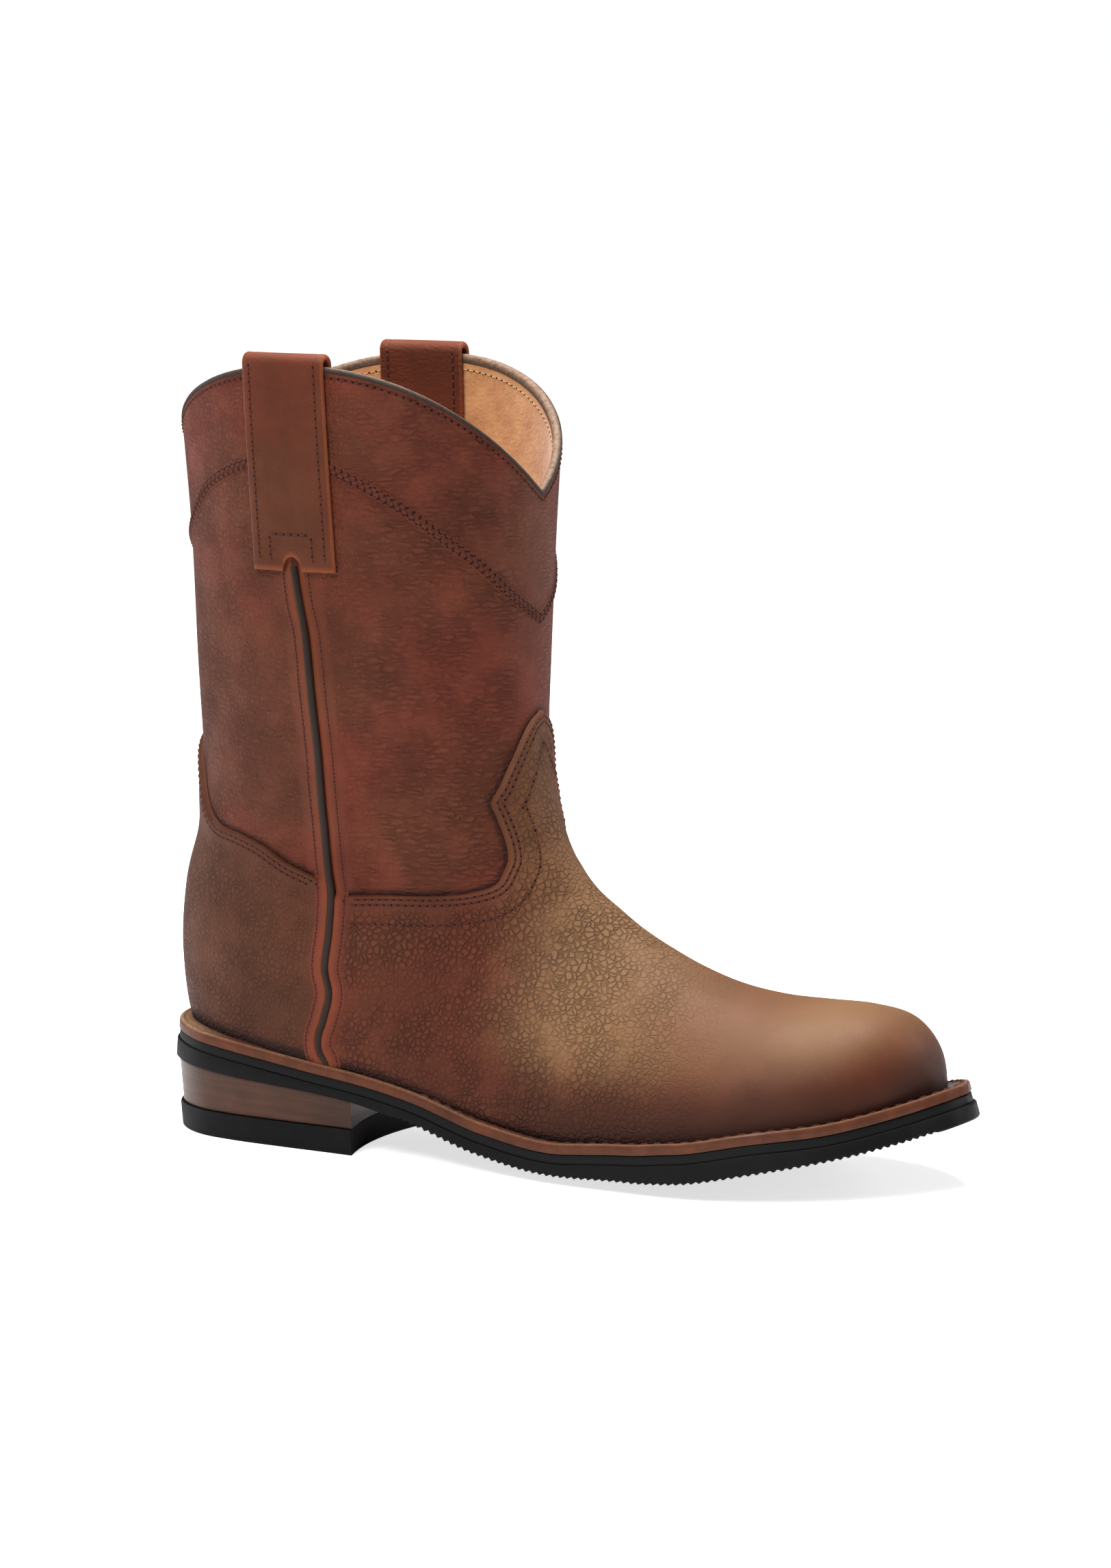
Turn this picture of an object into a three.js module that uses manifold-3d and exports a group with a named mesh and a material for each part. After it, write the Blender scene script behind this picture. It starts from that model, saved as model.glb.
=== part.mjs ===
// A right cowboy boot with a rounded toe, a low stacked heel and two pull straps.
// Millimetres, +Z up, toe along +X, outer (lateral) side towards -Y.
// The upper is a fan of closed sections: level across the shaft, turning round the
// instep until they stand upright at the toe. Every layer on it is cut between two
// larger forms from the same function.

import * as THREE from 'three';
import { mergeVertices } from 'three/addons/utils/BufferGeometryUtils.js';
import Module from 'manifold-3d';

const wasm = await Module();
wasm.setup();

// Driving dimensions
const SOLE_LENGTH = 300; // heel to toe
const BALL_WIDTH = 104.5; // sole across the ball
const HEEL_SEAT_WIDTH = 76; // sole across the heel seat
const INSTEP_HEIGHT = 85; // seat of the foot to the top of the instep
const SHAFT_HEIGHT = 238; // seat of the heel to the collar's side peak
const SHAFT_DEPTH = 138; // shaft from back to front
const SHAFT_WIDTH = 104.5; // shaft from side to side
const FRONT_DIP = 45; // collar's front point below its side peak
const BACK_DIP = 35; // collar's back point below its side peak
const HEEL_HEIGHT = 25.6; // floor to the outsole at the back of the heel
const HEEL_LENGTH = 86; // back of the heel to its breast
const BREAST_HOLLOW = 6; // depth of the hollow across the breast
const TOP_LIFT_THICKNESS = 9.1; // rubber under the stacked leather
const TOE_SPRING = 21; // toe above the floor
const EDGE_LIFT = 4.5; // side edges of the forefoot above its flat middle
const OUTSOLE_THICKNESS = 6.1; // at the ball
const MIDSOLE_THICKNESS = 3.2;
const WELT_THICKNESS = 3.8;
const INSOLE_THICKNESS = 3;
const WALL = 2.6; // leather and lining of the upper
const OVERLAY_THICKNESS = 1.5; // vamp and counter leather
const OVERLAY_TUCK = 1.5; // how far the upper steps in under vamp and counter
const PIPING_WIDTH = 2.6;
const PIPING_HEIGHT = 2.6; // piping above the upper
const BINDING_HEIGHT = 2.4; // rolled edge on the collar
const STRAP_WIDTH = 32;
const STRAP_DROP = 70; // strap below the collar's peak
const STRAP_RISE = 4; // strap above the collar's peak
const STRAP_THICKNESS = 2.2; // folded leather, two layers
const STRAP_LEAN = 3.4; // forward drift of a strap from top to bottom
const NOTCH_HEIGHT = 4; // keyhole in the strap's end, over the piping
const HEEL_INSET = 1.2; // stacked leather inside the outsole's edge
const WELT_INSET = 0.4; // welt inside the outsole's edge
const MIDSOLE_INSET = 0.8; // midsole inside the outsole's edge
const HEEL_TAPER = 0.05; // how much narrower the heel is at the floor
const GAP = 0.3; // clearance between pieces that touch
const LINING_GAP = 0.6; // clearance of a strap's inner leg

// How finely the surfaces are divided
const AROUND = 26; // facets round the upper
const COLLAR_RINGS = 3; // rings from the collar to the last level station
const HEEL_RUNGS = 10;
const STRAP_COLUMNS = 4;
const ARCH_STEPS = 6;
const FLAT_SHARE = 0.25; // half of the flat strip under the ball, a share of the half width
const SOLE_COLUMNS = [-1, -0.62, -FLAT_SHARE, FLAT_SHARE, 0.62, 1]; // shares of the half width
const LONG_ROW = 0.055; // outline rows further apart than this get a rung between them
const REACH = 130; // half length of a cutting solid across the boot
const CUT_BREADTH = 1.3; // half width of a cut along the sole, a share of the sole's
const SCALLOP = 1.9; // how far round a cosine the collar's edge runs; more is rounder
const FLARE = 1.5; // how the forefoot's edges curve up from the flat strip

const { clamp, degToRad, lerp, smoothstep } = THREE.MathUtils;

// Rows of numbers as objects with named columns
const table = (columns, ...rows) => (
  rows.map((row) => Object.fromEntries(columns.map((name, i) => [name, row[i]]))));

// Sole profile, each column a share: along of SOLE_LENGTH, heel of HEEL_HEIGHT,
// toe of TOE_SPRING, thick of OUTSOLE_THICKNESS, edge of EDGE_LIFT
const SOLE_PROFILE = table(
  ['along', 'heel', 'toe', 'thick', 'edge'],
  [0, 1, 0, 1.2, 0],
  [0.13, 0.9, 0, 0.9, 0],
  [0.27, 0.78, 0, 0.54, 0],
  [0.36, 0.57, 0, 0.67, 0.17],
  [0.46, 0.225, 0, 0.76, 0.33],
  [0.56, 0.02, 0, 0.8, 0.67],
  [0.6, 0, 0, 0.9, 0.85],
  [0.66, 0, 0, 1.05, 1],
  [0.72, 0, 0.05, 1.2, 1],
  [0.8, 0, 0.25, 1.2, 1],
  [0.9, 0, 0.555, 0.96, 1],
  [1, 0, 1, 0.96, 1],
);

// Sole outline at the heel: along is a share of SOLE_LENGTH, the sides of HEEL_SEAT_WIDTH
const HEEL_OUTLINE = table(
  ['along', 'lateral', 'medial'],
  [0.01, 0.187, 0.187],
  [0.03, 0.305, 0.305],
  [0.067, 0.41, 0.41],
  [0.117, 0.46, 0.458],
  [0.183, 0.485, 0.475],
  [0.267, 0.505, 0.487],
);

// Sole outline from the waist on: the sides are shares of BALL_WIDTH
const FORE_OUTLINE = table(
  ['along', 'lateral', 'medial'],
  [0.367, 0.395, 0.358],
  [0.467, 0.43, 0.382],
  [0.567, 0.465, 0.428],
  [0.667, 0.493, 0.475],
  [0.75, 0.493, 0.505],
  [0.827, 0.44, 0.5],
  [0.893, 0.345, 0.456],
  [0.943, 0.22, 0.368],
  [0.977, 0.086, 0.268],
  [0.993, 0.016, 0.178],
);
const TOE_POINT = 0.077; // toe's medial shift, a share of BALL_WIDTH
const BALL_SHARE = 0.7; // middle of the ball, a share of SOLE_LENGTH

// Sections of the shaft from above the collar down. back and front are shares of
// SHAFT_DEPTH from the heel's back, their rises shares of SHAFT_HEIGHT above the heel
// seat, half of SHAFT_WIDTH. widest is where the section is widest, a share of the way
// from back to front, and the last two are the exponents of its rounded ends.
const SHAFT_SECTIONS = table(
  ['back', 'backRise', 'front', 'frontRise', 'half', 'widest', 'backCurve', 'frontCurve'],
  [0.023, 1.11, 1.033, 1.11, 0.5, 0.5, 2.2, 2.2],
  [0.036, 0.95, 1.031, 0.95, 0.5, 0.5, 2.2, 2.2],
  [0.066, 0.752, 1.015, 0.752, 0.481, 0.5, 2.2, 2.2],
  [0.08, 0.563, 1.011, 0.569, 0.456, 0.49, 2.2, 2.1],
  [0.086, 0.428, 1.017, 0.444, 0.413, 0.48, 2.2, 2],
  [0.075, 0.319, 1.044, 0.361, 0.37, 0.45, 2.2, 1.95],
  [0.03, 0.21, 1.093, 0.295, 0.346, 0.42, 2.2, 1.9],
);

// Sections of the foot from the ankle to the toe. back is the lower end of each section,
// front its upper end: shares of SOLE_LENGTH, with rises above the seat there as shares
// of INSTEP_HEIGHT. shift, lateral and medial are shares of HEEL_SEAT_WIDTH over the
// heel, and of BALL_WIDTH from the waist on.
const FOOT_COLUMNS = ['back', 'backRise', 'front', 'frontRise', 'shift', 'lateral', 'medial',
  'widest', 'backCurve', 'frontCurve'];
const HEEL_SECTIONS = table(
  FOOT_COLUMNS,
  [0.007, 0.307, 0.534, 1.007, 0, 0.462, 0.457, 0.4, 2.2, 1.9],
  [0.023, 0.007, 0.568, 0.931, 0, 0.454, 0.443, 0.38, 2.3, 1.9],
  [0.076, -0.2, 0.598, 0.858, 0, 0.465, 0.446, 0.36, 2.5, 1.9],
  [0.208, -0.185, 0.634, 0.783, 0, 0.487, 0.454, 0.34, 2.5, 1.9],
);
const FORE_SECTIONS = table(
  FOOT_COLUMNS,
  [0.373, -0.175, 0.674, 0.708, 0, 0.386, 0.35, 0.32, 2.7, 1.95],
  [0.537, -0.12, 0.718, 0.632, 0.008, 0.428, 0.398, 0.32, 2.8, 2],
  [0.669, -0.193, 0.766, 0.573, 0.021, 0.453, 0.431, 0.33, 2.8, 2.1],
  [0.76, -0.257, 0.817, 0.531, 0.036, 0.445, 0.414, 0.34, 2.8, 2.15],
  [0.826, -0.282, 0.867, 0.5, 0.057, 0.408, 0.373, 0.36, 2.7, 2.2],
  [0.872, -0.247, 0.912, 0.432, 0.069, 0.339, 0.32, 0.38, 2.6, 2.2],
  [0.908, -0.216, 0.943, 0.294, 0.077, 0.237, 0.228, 0.4, 2.5, 2.2],
  [0.928, -0.176, 0.96, 0.124, 0.077, 0.102, 0.102, 0.42, 2.4, 2.2],
  [0.934, -0.125, 0.962, 0.037, 0.077, 0.026, 0.026, 0.45, 2.2, 2.2],
);
const LAST_LEVEL_STATION = 3; // sections up to here are nearly level
const TOE_STATION = SHAFT_SECTIONS.length + HEEL_SECTIONS.length + FORE_SECTIONS.length - 1;
const CAVITY_STATION = TOE_STATION - 1; // the hollow ends one section short of the toe

const TUCK_STATIONS = [3.5, 8]; // where the surface steps in under the overlays
const NOSE_STATIONS = [14, 18]; // where an offset starts to push forward, and fully does

// Stations of the rings below the level part, close together where the form turns
const steps = (from, to, step) => (
  Array.from({ length: Math.round((to - from) / step) + 1 }, (_, i) => from + i * step));
const STATIONS = [
  LAST_LEVEL_STATION,
  ...steps(LAST_LEVEL_STATION + 1, 8, 0.5),
  ...steps(9, 13, 1),
  ...steps(13.5, TOE_STATION, 0.5),
];

// Edges drawn on the upper: station counts sections down from the top of the shaft,
// angle turns from the back (0) over the side (90) to the front (180).
const VAMP_EDGE = table(
  ['station', 'angle'],
  [3.5, 180],
  [3.68, 170],
  [4.15, 159],
  [4.5, 153],
  [4.8, 148],
  [5.1, 149],
  [5.5, 150],
  [5.9, 149.5],
  [6.2, 146],
  [6.5, 141],
  [6.6, 133],
  [6.55, 124],
  [6.4, 112],
  [6.3, 98],
);
const COUNTER_EDGE = table(
  ['station', 'angle'],
  [3.8, 0],
  [3.95, 14],
  [4.2, 25],
  [4.45, 31.5],
  [4.7, 36],
  [4.95, 43],
  [5.1, 51],
  [5.2, 62],
  [5.4, 75],
  [5.7, 86],
  [6, 97],
);
const SEAM = table(
  ['station', 'angle'],
  [2.2, 88],
  [2.8, 91],
  [3.6, 92.5],
  [4.8, 94.5],
  [5.8, 98],
  [6.3, 99],
  [7, 97.5],
  [7.6, 95],
  [8.3, 93],
  [9.4, 85],
);

// Smooth curve through a table's points that never overshoots them
function monotone(points) {
  const last = points.length - 1;
  const slopes = points.slice(1).map(([x, y], i) => (y - points[i][1]) / (x - points[i][0]));
  const tangents = points.map((_, i) => {
    const before = slopes[Math.max(i - 1, 0)];
    const after = slopes[Math.min(i, last - 1)];
    return before * after <= 0 ? 0 : (2 * before * after) / (before + after);
  });
  return (x) => {
    const at = clamp(x, points[0][0], points[last][0]);
    let i = 0;
    while (i < last - 1 && at > points[i + 1][0]) i += 1;
    const [x0, y0] = points[i];
    const [x1, y1] = points[i + 1];
    const width = x1 - x0;
    const u = (at - x0) / width;
    const v = 1 - u;
    const level = y0 * (1 + 2 * u) * v * v + y1 * (1 + 2 * v) * u * u;
    return level + width * u * v * (tangents[i] * v - tangents[i + 1] * u);
  };
}

// Uniform Catmull-Rom blend of rows of numbers, at a station counted in rows
function blendRows(rows, station) {
  const last = rows.length - 1;
  const at = clamp(station, 0, last);
  const i = Math.min(Math.floor(at), last - 1);
  const u = at - i;
  return rows[i].map((_, column) => {
    const p1 = rows[i][column];
    const p2 = rows[i + 1][column];
    const p0 = i > 0 ? rows[i - 1][column] : 2 * p1 - p2;
    const p3 = i + 2 <= last ? rows[i + 2][column] : 2 * p2 - p1;
    const bend = (2 * p0 - 5 * p1 + 4 * p2 - p3) * u * u + (3 * p1 - p0 - 3 * p2 + p3) * u * u * u;
    return (2 * p1 + (p2 - p0) * u + bend) / 2;
  });
}

// Largest value between two limits for which a test that is true at first still holds
function halve(from, to, holds) {
  let low = from;
  let high = to;
  for (let i = 0; i < 30; i += 1) {
    const middle = (low + high) / 2;
    if (holds(middle)) low = middle;
    else high = middle;
  }
  return low;
}

// Manifold solid from points and triangles, turned so that its faces point out
function closedSolid(points, triangles) {
  const geometry = new THREE.BufferGeometry();
  geometry.setAttribute('position', new THREE.Float32BufferAttribute(points.flat(), 3));
  geometry.setIndex(triangles.flat());
  return solidFromGeometry(geometry);
}

function solidFromGeometry(source) {
  const geometry = source.clone();
  geometry.deleteAttribute('normal');
  geometry.deleteAttribute('uv');
  const merged = mergeVertices(geometry, 1e-3);
  const corner = (i) => new THREE.Vector3().fromBufferAttribute(merged.attributes.position, i);
  const index = merged.index.array;
  const faces = [];
  let volume = 0;
  for (let i = 0; i < index.length; i += 3) {
    const [a, b, c] = [index[i], index[i + 1], index[i + 2]];
    if (a === b || b === c || c === a) continue;
    faces.push([a, b, c]);
    volume += corner(a).dot(corner(b).cross(corner(c)));
  }
  const outward = volume < 0 ? faces.map(([a, b, c]) => [a, c, b]) : faces;
  return new wasm.Manifold(new wasm.Mesh({
    numProp: 3,
    vertProperties: new Float32Array(merged.attributes.position.array),
    triVerts: Uint32Array.from(outward.flat()),
  }));
}

// Skin over closed rings of points, capped at both ends or joined end to end
function loft(rings, joined = false) {
  const size = rings[0].length;
  const points = rings.flat();
  const triangles = [];
  const strips = joined ? rings.length : rings.length - 1;
  for (let r = 0; r < strips; r += 1) {
    const next = (r + 1) % rings.length;
    for (let i = 0; i < size; i += 1) {
      const j = (i + 1) % size;
      triangles.push([r * size + i, r * size + j, next * size + j]);
      triangles.push([r * size + i, next * size + j, next * size + i]);
    }
  }
  if (!joined) {
    [0, rings.length - 1].forEach((r) => {
      const middle = points.length;
      points.push(centroid(rings[r]));
      for (let i = 0; i < size; i += 1) {
        const edge = [r * size + i, r * size + ((i + 1) % size)];
        triangles.push(r === 0 ? [middle, edge[1], edge[0]] : [middle, edge[0], edge[1]]);
      }
    });
  }
  return closedSolid(points, triangles);
}

function centroid(ring) {
  return [0, 1, 2].map((axis) => ring.reduce((sum, point) => sum + point[axis], 0) / ring.length);
}

// Prism on an outline of [x, z] points, from one y to another, leaning along X with Y
function prism(outline, fromY, toY, lean = 0) {
  const shape = new THREE.Shape(outline.map(([x, z]) => new THREE.Vector2(x, z)));
  const geometry = new THREE.ExtrudeGeometry(shape, { depth: 1, steps: 1, bevelEnabled: false });
  const span = toY - fromY;
  geometry.applyMatrix4(new THREE.Matrix4().set(
    1, 0, lean * span, lean * fromY,
    0, 0, span, fromY,
    0, 1, 0, 0,
    0, 0, 0, 1,
  ));
  return solidFromGeometry(geometry);
}

// Sole: heights along the boot
const profileOf = (column) => (
  monotone(SOLE_PROFILE.map((row) => [row.along * SOLE_LENGTH, row[column]])));
const heelShare = profileOf('heel');
const toeShare = profileOf('toe');
const thickShare = profileOf('thick');
const edgeShare = profileOf('edge');
const bottomZ = (x) => HEEL_HEIGHT * heelShare(x) + TOE_SPRING * toeShare(x);
const outsoleThickness = (x) => OUTSOLE_THICKNESS * thickShare(x);
const seatHeight = (x) => outsoleThickness(x) + MIDSOLE_THICKNESS;
const seatZ = (x) => bottomZ(x) + seatHeight(x);

// Rise of the forefoot away from the flat spot under the ball
function edgeLift(x, y) {
  const along = x / SOLE_LENGTH;
  const middle = TOE_POINT * BALL_WIDTH * smoothstep(along, BALL_SHARE, 0.95);
  const sideways = (y - middle) / (BALL_WIDTH / 2);
  const ahead = Math.max(along - BALL_SHARE, 0) / (1 - BALL_SHARE);
  const away = Math.max(Math.hypot(sideways, ahead) - FLAT_SHARE, 0) / (1 - FLAT_SHARE);
  return EDGE_LIFT * edgeShare(x) * away ** FLARE;
}

// Point of the sole: x and y in plan, and a height square to the sole's curved bottom
function solePoint(x, y, height) {
  const tilt = Math.atan((bottomZ(x + 1) - bottomZ(x - 1)) / 2);
  return [x - Math.sin(tilt) * height, y, bottomZ(x) + edgeLift(x, y) + Math.cos(tilt) * height];
}

// Sole: closed outline in plan, lateral side first
const sideRows = [
  ...HEEL_OUTLINE.map((row) => ({ ...row, breadth: HEEL_SEAT_WIDTH })),
  ...FORE_OUTLINE.map((row) => ({ ...row, breadth: BALL_WIDTH })),
];
const planPoint = (along, y) => new THREE.Vector3(along * SOLE_LENGTH, y, 0);
const outline = new THREE.CatmullRomCurve3([
  planPoint(0, 0),
  ...sideRows.map((row) => planPoint(row.along, -row.lateral * row.breadth)),
  planPoint(1, TOE_POINT * BALL_WIDTH),
  ...sideRows.map((row) => planPoint(row.along, row.medial * row.breadth)).reverse(),
], true);

// Rungs across the sole: one at each row of its outline, and one between long rows
const RUNGS = [0, ...sideRows.flatMap((row, i) => {
  const previous = i > 0 ? sideRows[i - 1].along : 0;
  const here = (i + 1) / (sideRows.length + 1) / 2;
  const between = (i + 0.5) / (sideRows.length + 1) / 2;
  return row.along - previous > LONG_ROW ? [between, here] : [here];
}), 0.5];

// Outline point moved inwards; share 0 is the heel's back, 0.5 the toe, 1 the back again
function outlinePoint(share, inset) {
  const point = outline.getPoint(share % 1);
  const along = outline.getTangent(share % 1);
  return [point.x - along.y * inset, point.y + along.x * inset];
}

// Rung of the sole: a closed ring of points through its low and high surfaces
function soleRung(share, inset, low, high, columns) {
  const lateral = outlinePoint(share, inset);
  const medial = outlinePoint(1 - share, inset);
  const row = (height) => columns.map((across) => {
    const side = (across + 1) / 2;
    const x = lerp(lateral[0], medial[0], side);
    return solePoint(x, lerp(lateral[1], medial[1], side), height(x));
  });
  return [...row(low), ...row(high).reverse()];
}

function solePlate(inset, low, high, columns = SOLE_COLUMNS) {
  return loft(RUNGS.map((share) => soleRung(share, inset, low, high, columns)));
}

// Everything below a height over the sole, a little wider than the sole itself
function belowSole(height) {
  const wide = [-CUT_BREADTH, ...SOLE_COLUMNS, CUT_BREADTH];
  return solePlate(0, () => -HEEL_HEIGHT - TOE_SPRING, height, wide);
}

// Upper: rows of millimetres, back x and z, front x and z, shift, half widths, shape
const shaftRow = (row) => [
  row.back * SHAFT_DEPTH,
  seatZ(0) + row.backRise * SHAFT_HEIGHT,
  row.front * SHAFT_DEPTH,
  seatZ(0) + row.frontRise * SHAFT_HEIGHT,
  0,
  row.half * SHAFT_WIDTH,
  row.half * SHAFT_WIDTH,
  row.widest,
  row.backCurve,
  row.frontCurve,
];
const footRow = (row, breadth) => [
  row.back * SOLE_LENGTH,
  seatZ(row.back * SOLE_LENGTH) + row.backRise * INSTEP_HEIGHT,
  row.front * SOLE_LENGTH,
  seatZ(row.front * SOLE_LENGTH) + row.frontRise * INSTEP_HEIGHT,
  row.shift * breadth,
  row.lateral * breadth,
  row.medial * breadth,
  row.widest,
  row.backCurve,
  row.frontCurve,
];
const upperRows = [
  ...SHAFT_SECTIONS.map(shaftRow),
  ...HEEL_SECTIONS.map((row) => footRow(row, HEEL_SEAT_WIDTH)),
  ...FORE_SECTIONS.map((row) => footRow(row, BALL_WIDTH)),
];

// Point of the upper, offset outwards from the last's surface. The foot's part of the
// surface steps in under the overlays, and near the toe an offset also goes forward.
function upperPoint(station, angle, offset) {
  const [backX, backZ, frontX, frontZ, shift, lateral, medial, widest, backCurve, frontCurve] =
    blendRows(upperRows, station);
  const out = offset - OVERLAY_TUCK * smoothstep(station, ...TUCK_STATIONS);
  const length = Math.hypot(frontX - backX, frontZ - backZ);
  const along = [(frontX - backX) / length, (frontZ - backZ) / length];
  const turn = degToRad(angle);
  const towardsBack = Math.cos(turn) > 0;
  const exponent = 2 / (towardsBack ? backCurve : frontCurve);
  const run = Math.abs(Math.cos(turn)) ** exponent;
  const side = Math.abs(Math.sin(turn)) ** exponent;
  const arm = towardsBack ? -(widest * length + out) : (1 - widest) * length + out;
  const place = widest * length + arm * run;
  const half = (Math.sin(turn) > 0 ? lateral : medial) + out;
  const forward = out * smoothstep(station, ...NOSE_STATIONS);
  return [
    backX + along[0] * place + along[1] * forward,
    shift - Math.sign(Math.sin(turn)) * half * side,
    backZ + along[1] * place - along[0] * forward,
  ];
}

// Collar: height of its scalloped edge at an angle round the shaft
const COLLAR_PEAK = seatZ(0) + SHAFT_HEIGHT;
function collarZ(angle) {
  const fromSide = Math.abs(Math.min(angle, 360 - angle) - 90) / 90;
  const dip = angle > 90 && angle < 270 ? FRONT_DIP : BACK_DIP;
  return COLLAR_PEAK - (dip * (1 - Math.cos(SCALLOP * fromSide))) / (1 - Math.cos(SCALLOP));
}

// Station where the wall's top edge lies, just under the collar's rolled edge
function rimStation(angle) {
  const rim = collarZ(angle) - BINDING_HEIGHT - GAP;
  return halve(0, LAST_LEVEL_STATION, (station) => upperPoint(station, angle, 0)[2] > rim);
}

const ANGLES = Array.from({ length: AROUND }, (_, i) => (i * 360) / AROUND);
const RIM_STATIONS = ANGLES.map(rimStation);

// Rings of the upper from the collar to a last station, all at one offset
function upperRings(offset, lastStation) {
  const rings = [];
  for (let r = 0; r < COLLAR_RINGS; r += 1) {
    rings.push(ANGLES.map((angle, i) => (
      upperPoint(lerp(RIM_STATIONS[i], LAST_LEVEL_STATION, r / COLLAR_RINGS), angle, offset))));
  }
  STATIONS.forEach((station) => {
    rings.push(ANGLES.map((angle) => upperPoint(Math.min(station, lastStation), angle, offset)));
  });
  return rings;
}

// Solid form of the boot at an offset, used to cut the layers
const bootForm = (offset, lastStation = TOE_STATION) => loft(upperRings(offset, lastStation));

// Wall between an outer and an inner skin, open at the collar
function hollowForm(outside, inside) {
  const outer = upperRings(outside, TOE_STATION);
  const inner = upperRings(inside, CAVITY_STATION);
  return loft([...inner.reverse(), ...outer]);
}

const seatCut = belowSole((x) => seatHeight(x) + GAP);
const weltCut = belowSole((x) => seatHeight(x) + WELT_THICKNESS + GAP);
const overlayBand = bootForm(GAP + OVERLAY_THICKNESS).subtract(bootForm(GAP));

// Side view of the seam: its line at a distance in front of the piping's middle
function seamLine(ahead) {
  const line = SEAM.map(({ station, angle }) => {
    const [x, , z] = upperPoint(station, angle, 0);
    return [x + ahead, z];
  });
  const [lastX] = line[line.length - 1];
  return [...line, [lastX, -HEEL_HEIGHT]];
}

// Half of an overlay's cutter. Its edge is carried along a slant, so that the edge
// meets the upper squarely both at the middle and at the side.
function overlayCutter(edge, side, facing) {
  const points = edge.map(({ station, angle }) => {
    const [x, y, z] = upperPoint(station, side < 0 ? angle : 360 - angle, 0);
    return [x - facing * side * y, z];
  });
  const [middle] = points;
  const end = points[points.length - 1];
  const far = middle[0] + facing * (SOLE_LENGTH + REACH);
  const behind = end[0] - facing * SHAFT_WIDTH;
  const around = [
    [behind, end[1]],
    [behind, -HEEL_HEIGHT],
    [far, -HEEL_HEIGHT],
    [far, middle[1]],
  ];
  return prism([...points, ...around], -side * GAP, side * REACH, facing * side);
}

// Everything in front of the seam (facing 1) or behind it (facing -1), starting at a
// distance from the piping's middle
function besideSeam(distance, facing) {
  const line = seamLine(facing * distance);
  const far = facing * (SOLE_LENGTH + REACH);
  const top = COLLAR_PEAK + STRAP_RISE;
  return prism([[line[0][0], top], ...line, [far, -HEEL_HEIGHT], [far, top]], -REACH, REACH);
}

// Front or back panel of the upper. The two meet under the piping.
function panel(facing) {
  const wall = hollowForm(0, -WALL).subtract(seatCut);
  return wall.intersect(besideSeam(GAP / 2, facing));
}

function overlay(edge, facing) {
  const cutter = overlayCutter(edge, -1, facing).add(overlayCutter(edge, 1, facing));
  const panelSide = besideSeam(PIPING_WIDTH / 2 + GAP, facing);
  return overlayBand.intersect(cutter).intersect(panelSide).subtract(seatCut);
}

function piping(side) {
  const front = seamLine(PIPING_WIDTH / 2);
  const back = seamLine(-PIPING_WIDTH / 2).reverse();
  const band = bootForm(PIPING_HEIGHT).subtract(bootForm(GAP));
  return band.intersect(prism([...front, ...back], 0, side * REACH)).subtract(weltCut);
}

// Across the shaft at a given x and z: distance of its surface from the middle plane
function shaftHalfWidth(x, z, offset) {
  const station = halve(0, LAST_LEVEL_STATION, (s) => upperPoint(s, 90, 0)[2] > z);
  const angle = halve(0, 180, (a) => upperPoint(station, a, offset)[0] < x);
  return -upperPoint(station, angle, offset)[1];
}

// Pull strap: up the outside, over the collar and down the inside, in one loop
const PIPING_TOP = upperPoint(SEAM[0].station, SEAM[0].angle, 0);
const STRAP_END = COLLAR_PEAK - STRAP_DROP;
function pullStrap(side) {
  const outside = GAP + STRAP_THICKNESS / 2;
  const inside = -(WALL + LINING_GAP + STRAP_THICKNESS / 2);
  const radius = (outside - inside) / 2;
  const archZ = COLLAR_PEAK + STRAP_RISE - STRAP_THICKNESS / 2 - radius;
  const path = [];
  const leg = (offset, outward, share) => (
    { offset, z: lerp(STRAP_END, archZ, share), outward, upward: 0 });
  [0, 0.25, 0.5, 0.75].forEach((share) => path.push(leg(outside, 1, share)));
  for (let i = 0; i <= ARCH_STEPS; i += 1) {
    const turn = (Math.PI * i) / ARCH_STEPS;
    path.push({
      offset: (outside + inside) / 2 + radius * Math.cos(turn),
      z: archZ + radius * Math.sin(turn),
      outward: Math.cos(turn),
      upward: Math.sin(turn),
    });
  }
  [0.75, 0.5, 0.25, 0].forEach((share) => path.push(leg(inside, -1, share)));

  const rings = path.map(({ offset, z, outward, upward }) => {
    const centreX = PIPING_TOP[0] - STRAP_LEAN * ((z - STRAP_END) / STRAP_DROP);
    const face = (depth) => Array.from({ length: STRAP_COLUMNS + 1 }, (_, i) => {
      const x = centreX + STRAP_WIDTH * (i / STRAP_COLUMNS - 0.5);
      const height = z + upward * depth;
      return [x, side * shaftHalfWidth(x, height, offset + outward * depth), height];
    });
    return [...face(-STRAP_THICKNESS / 2), ...face(STRAP_THICKNESS / 2).reverse()];
  });

  const halfNotch = PIPING_WIDTH / 2 + LINING_GAP + GAP;
  const notchTop = STRAP_END + NOTCH_HEIGHT;
  const notch = prism([
    [PIPING_TOP[0] - halfNotch, STRAP_END - 1],
    [PIPING_TOP[0] + halfNotch, STRAP_END - 1],
    [PIPING_TOP[0] + halfNotch, notchTop - halfNotch / 2],
    [PIPING_TOP[0], notchTop],
    [PIPING_TOP[0] - halfNotch, notchTop - halfNotch / 2],
  ], side * shaftHalfWidth(PIPING_TOP[0], STRAP_END, 0), side * REACH);
  return loft(rings).subtract(notch);
}

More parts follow.
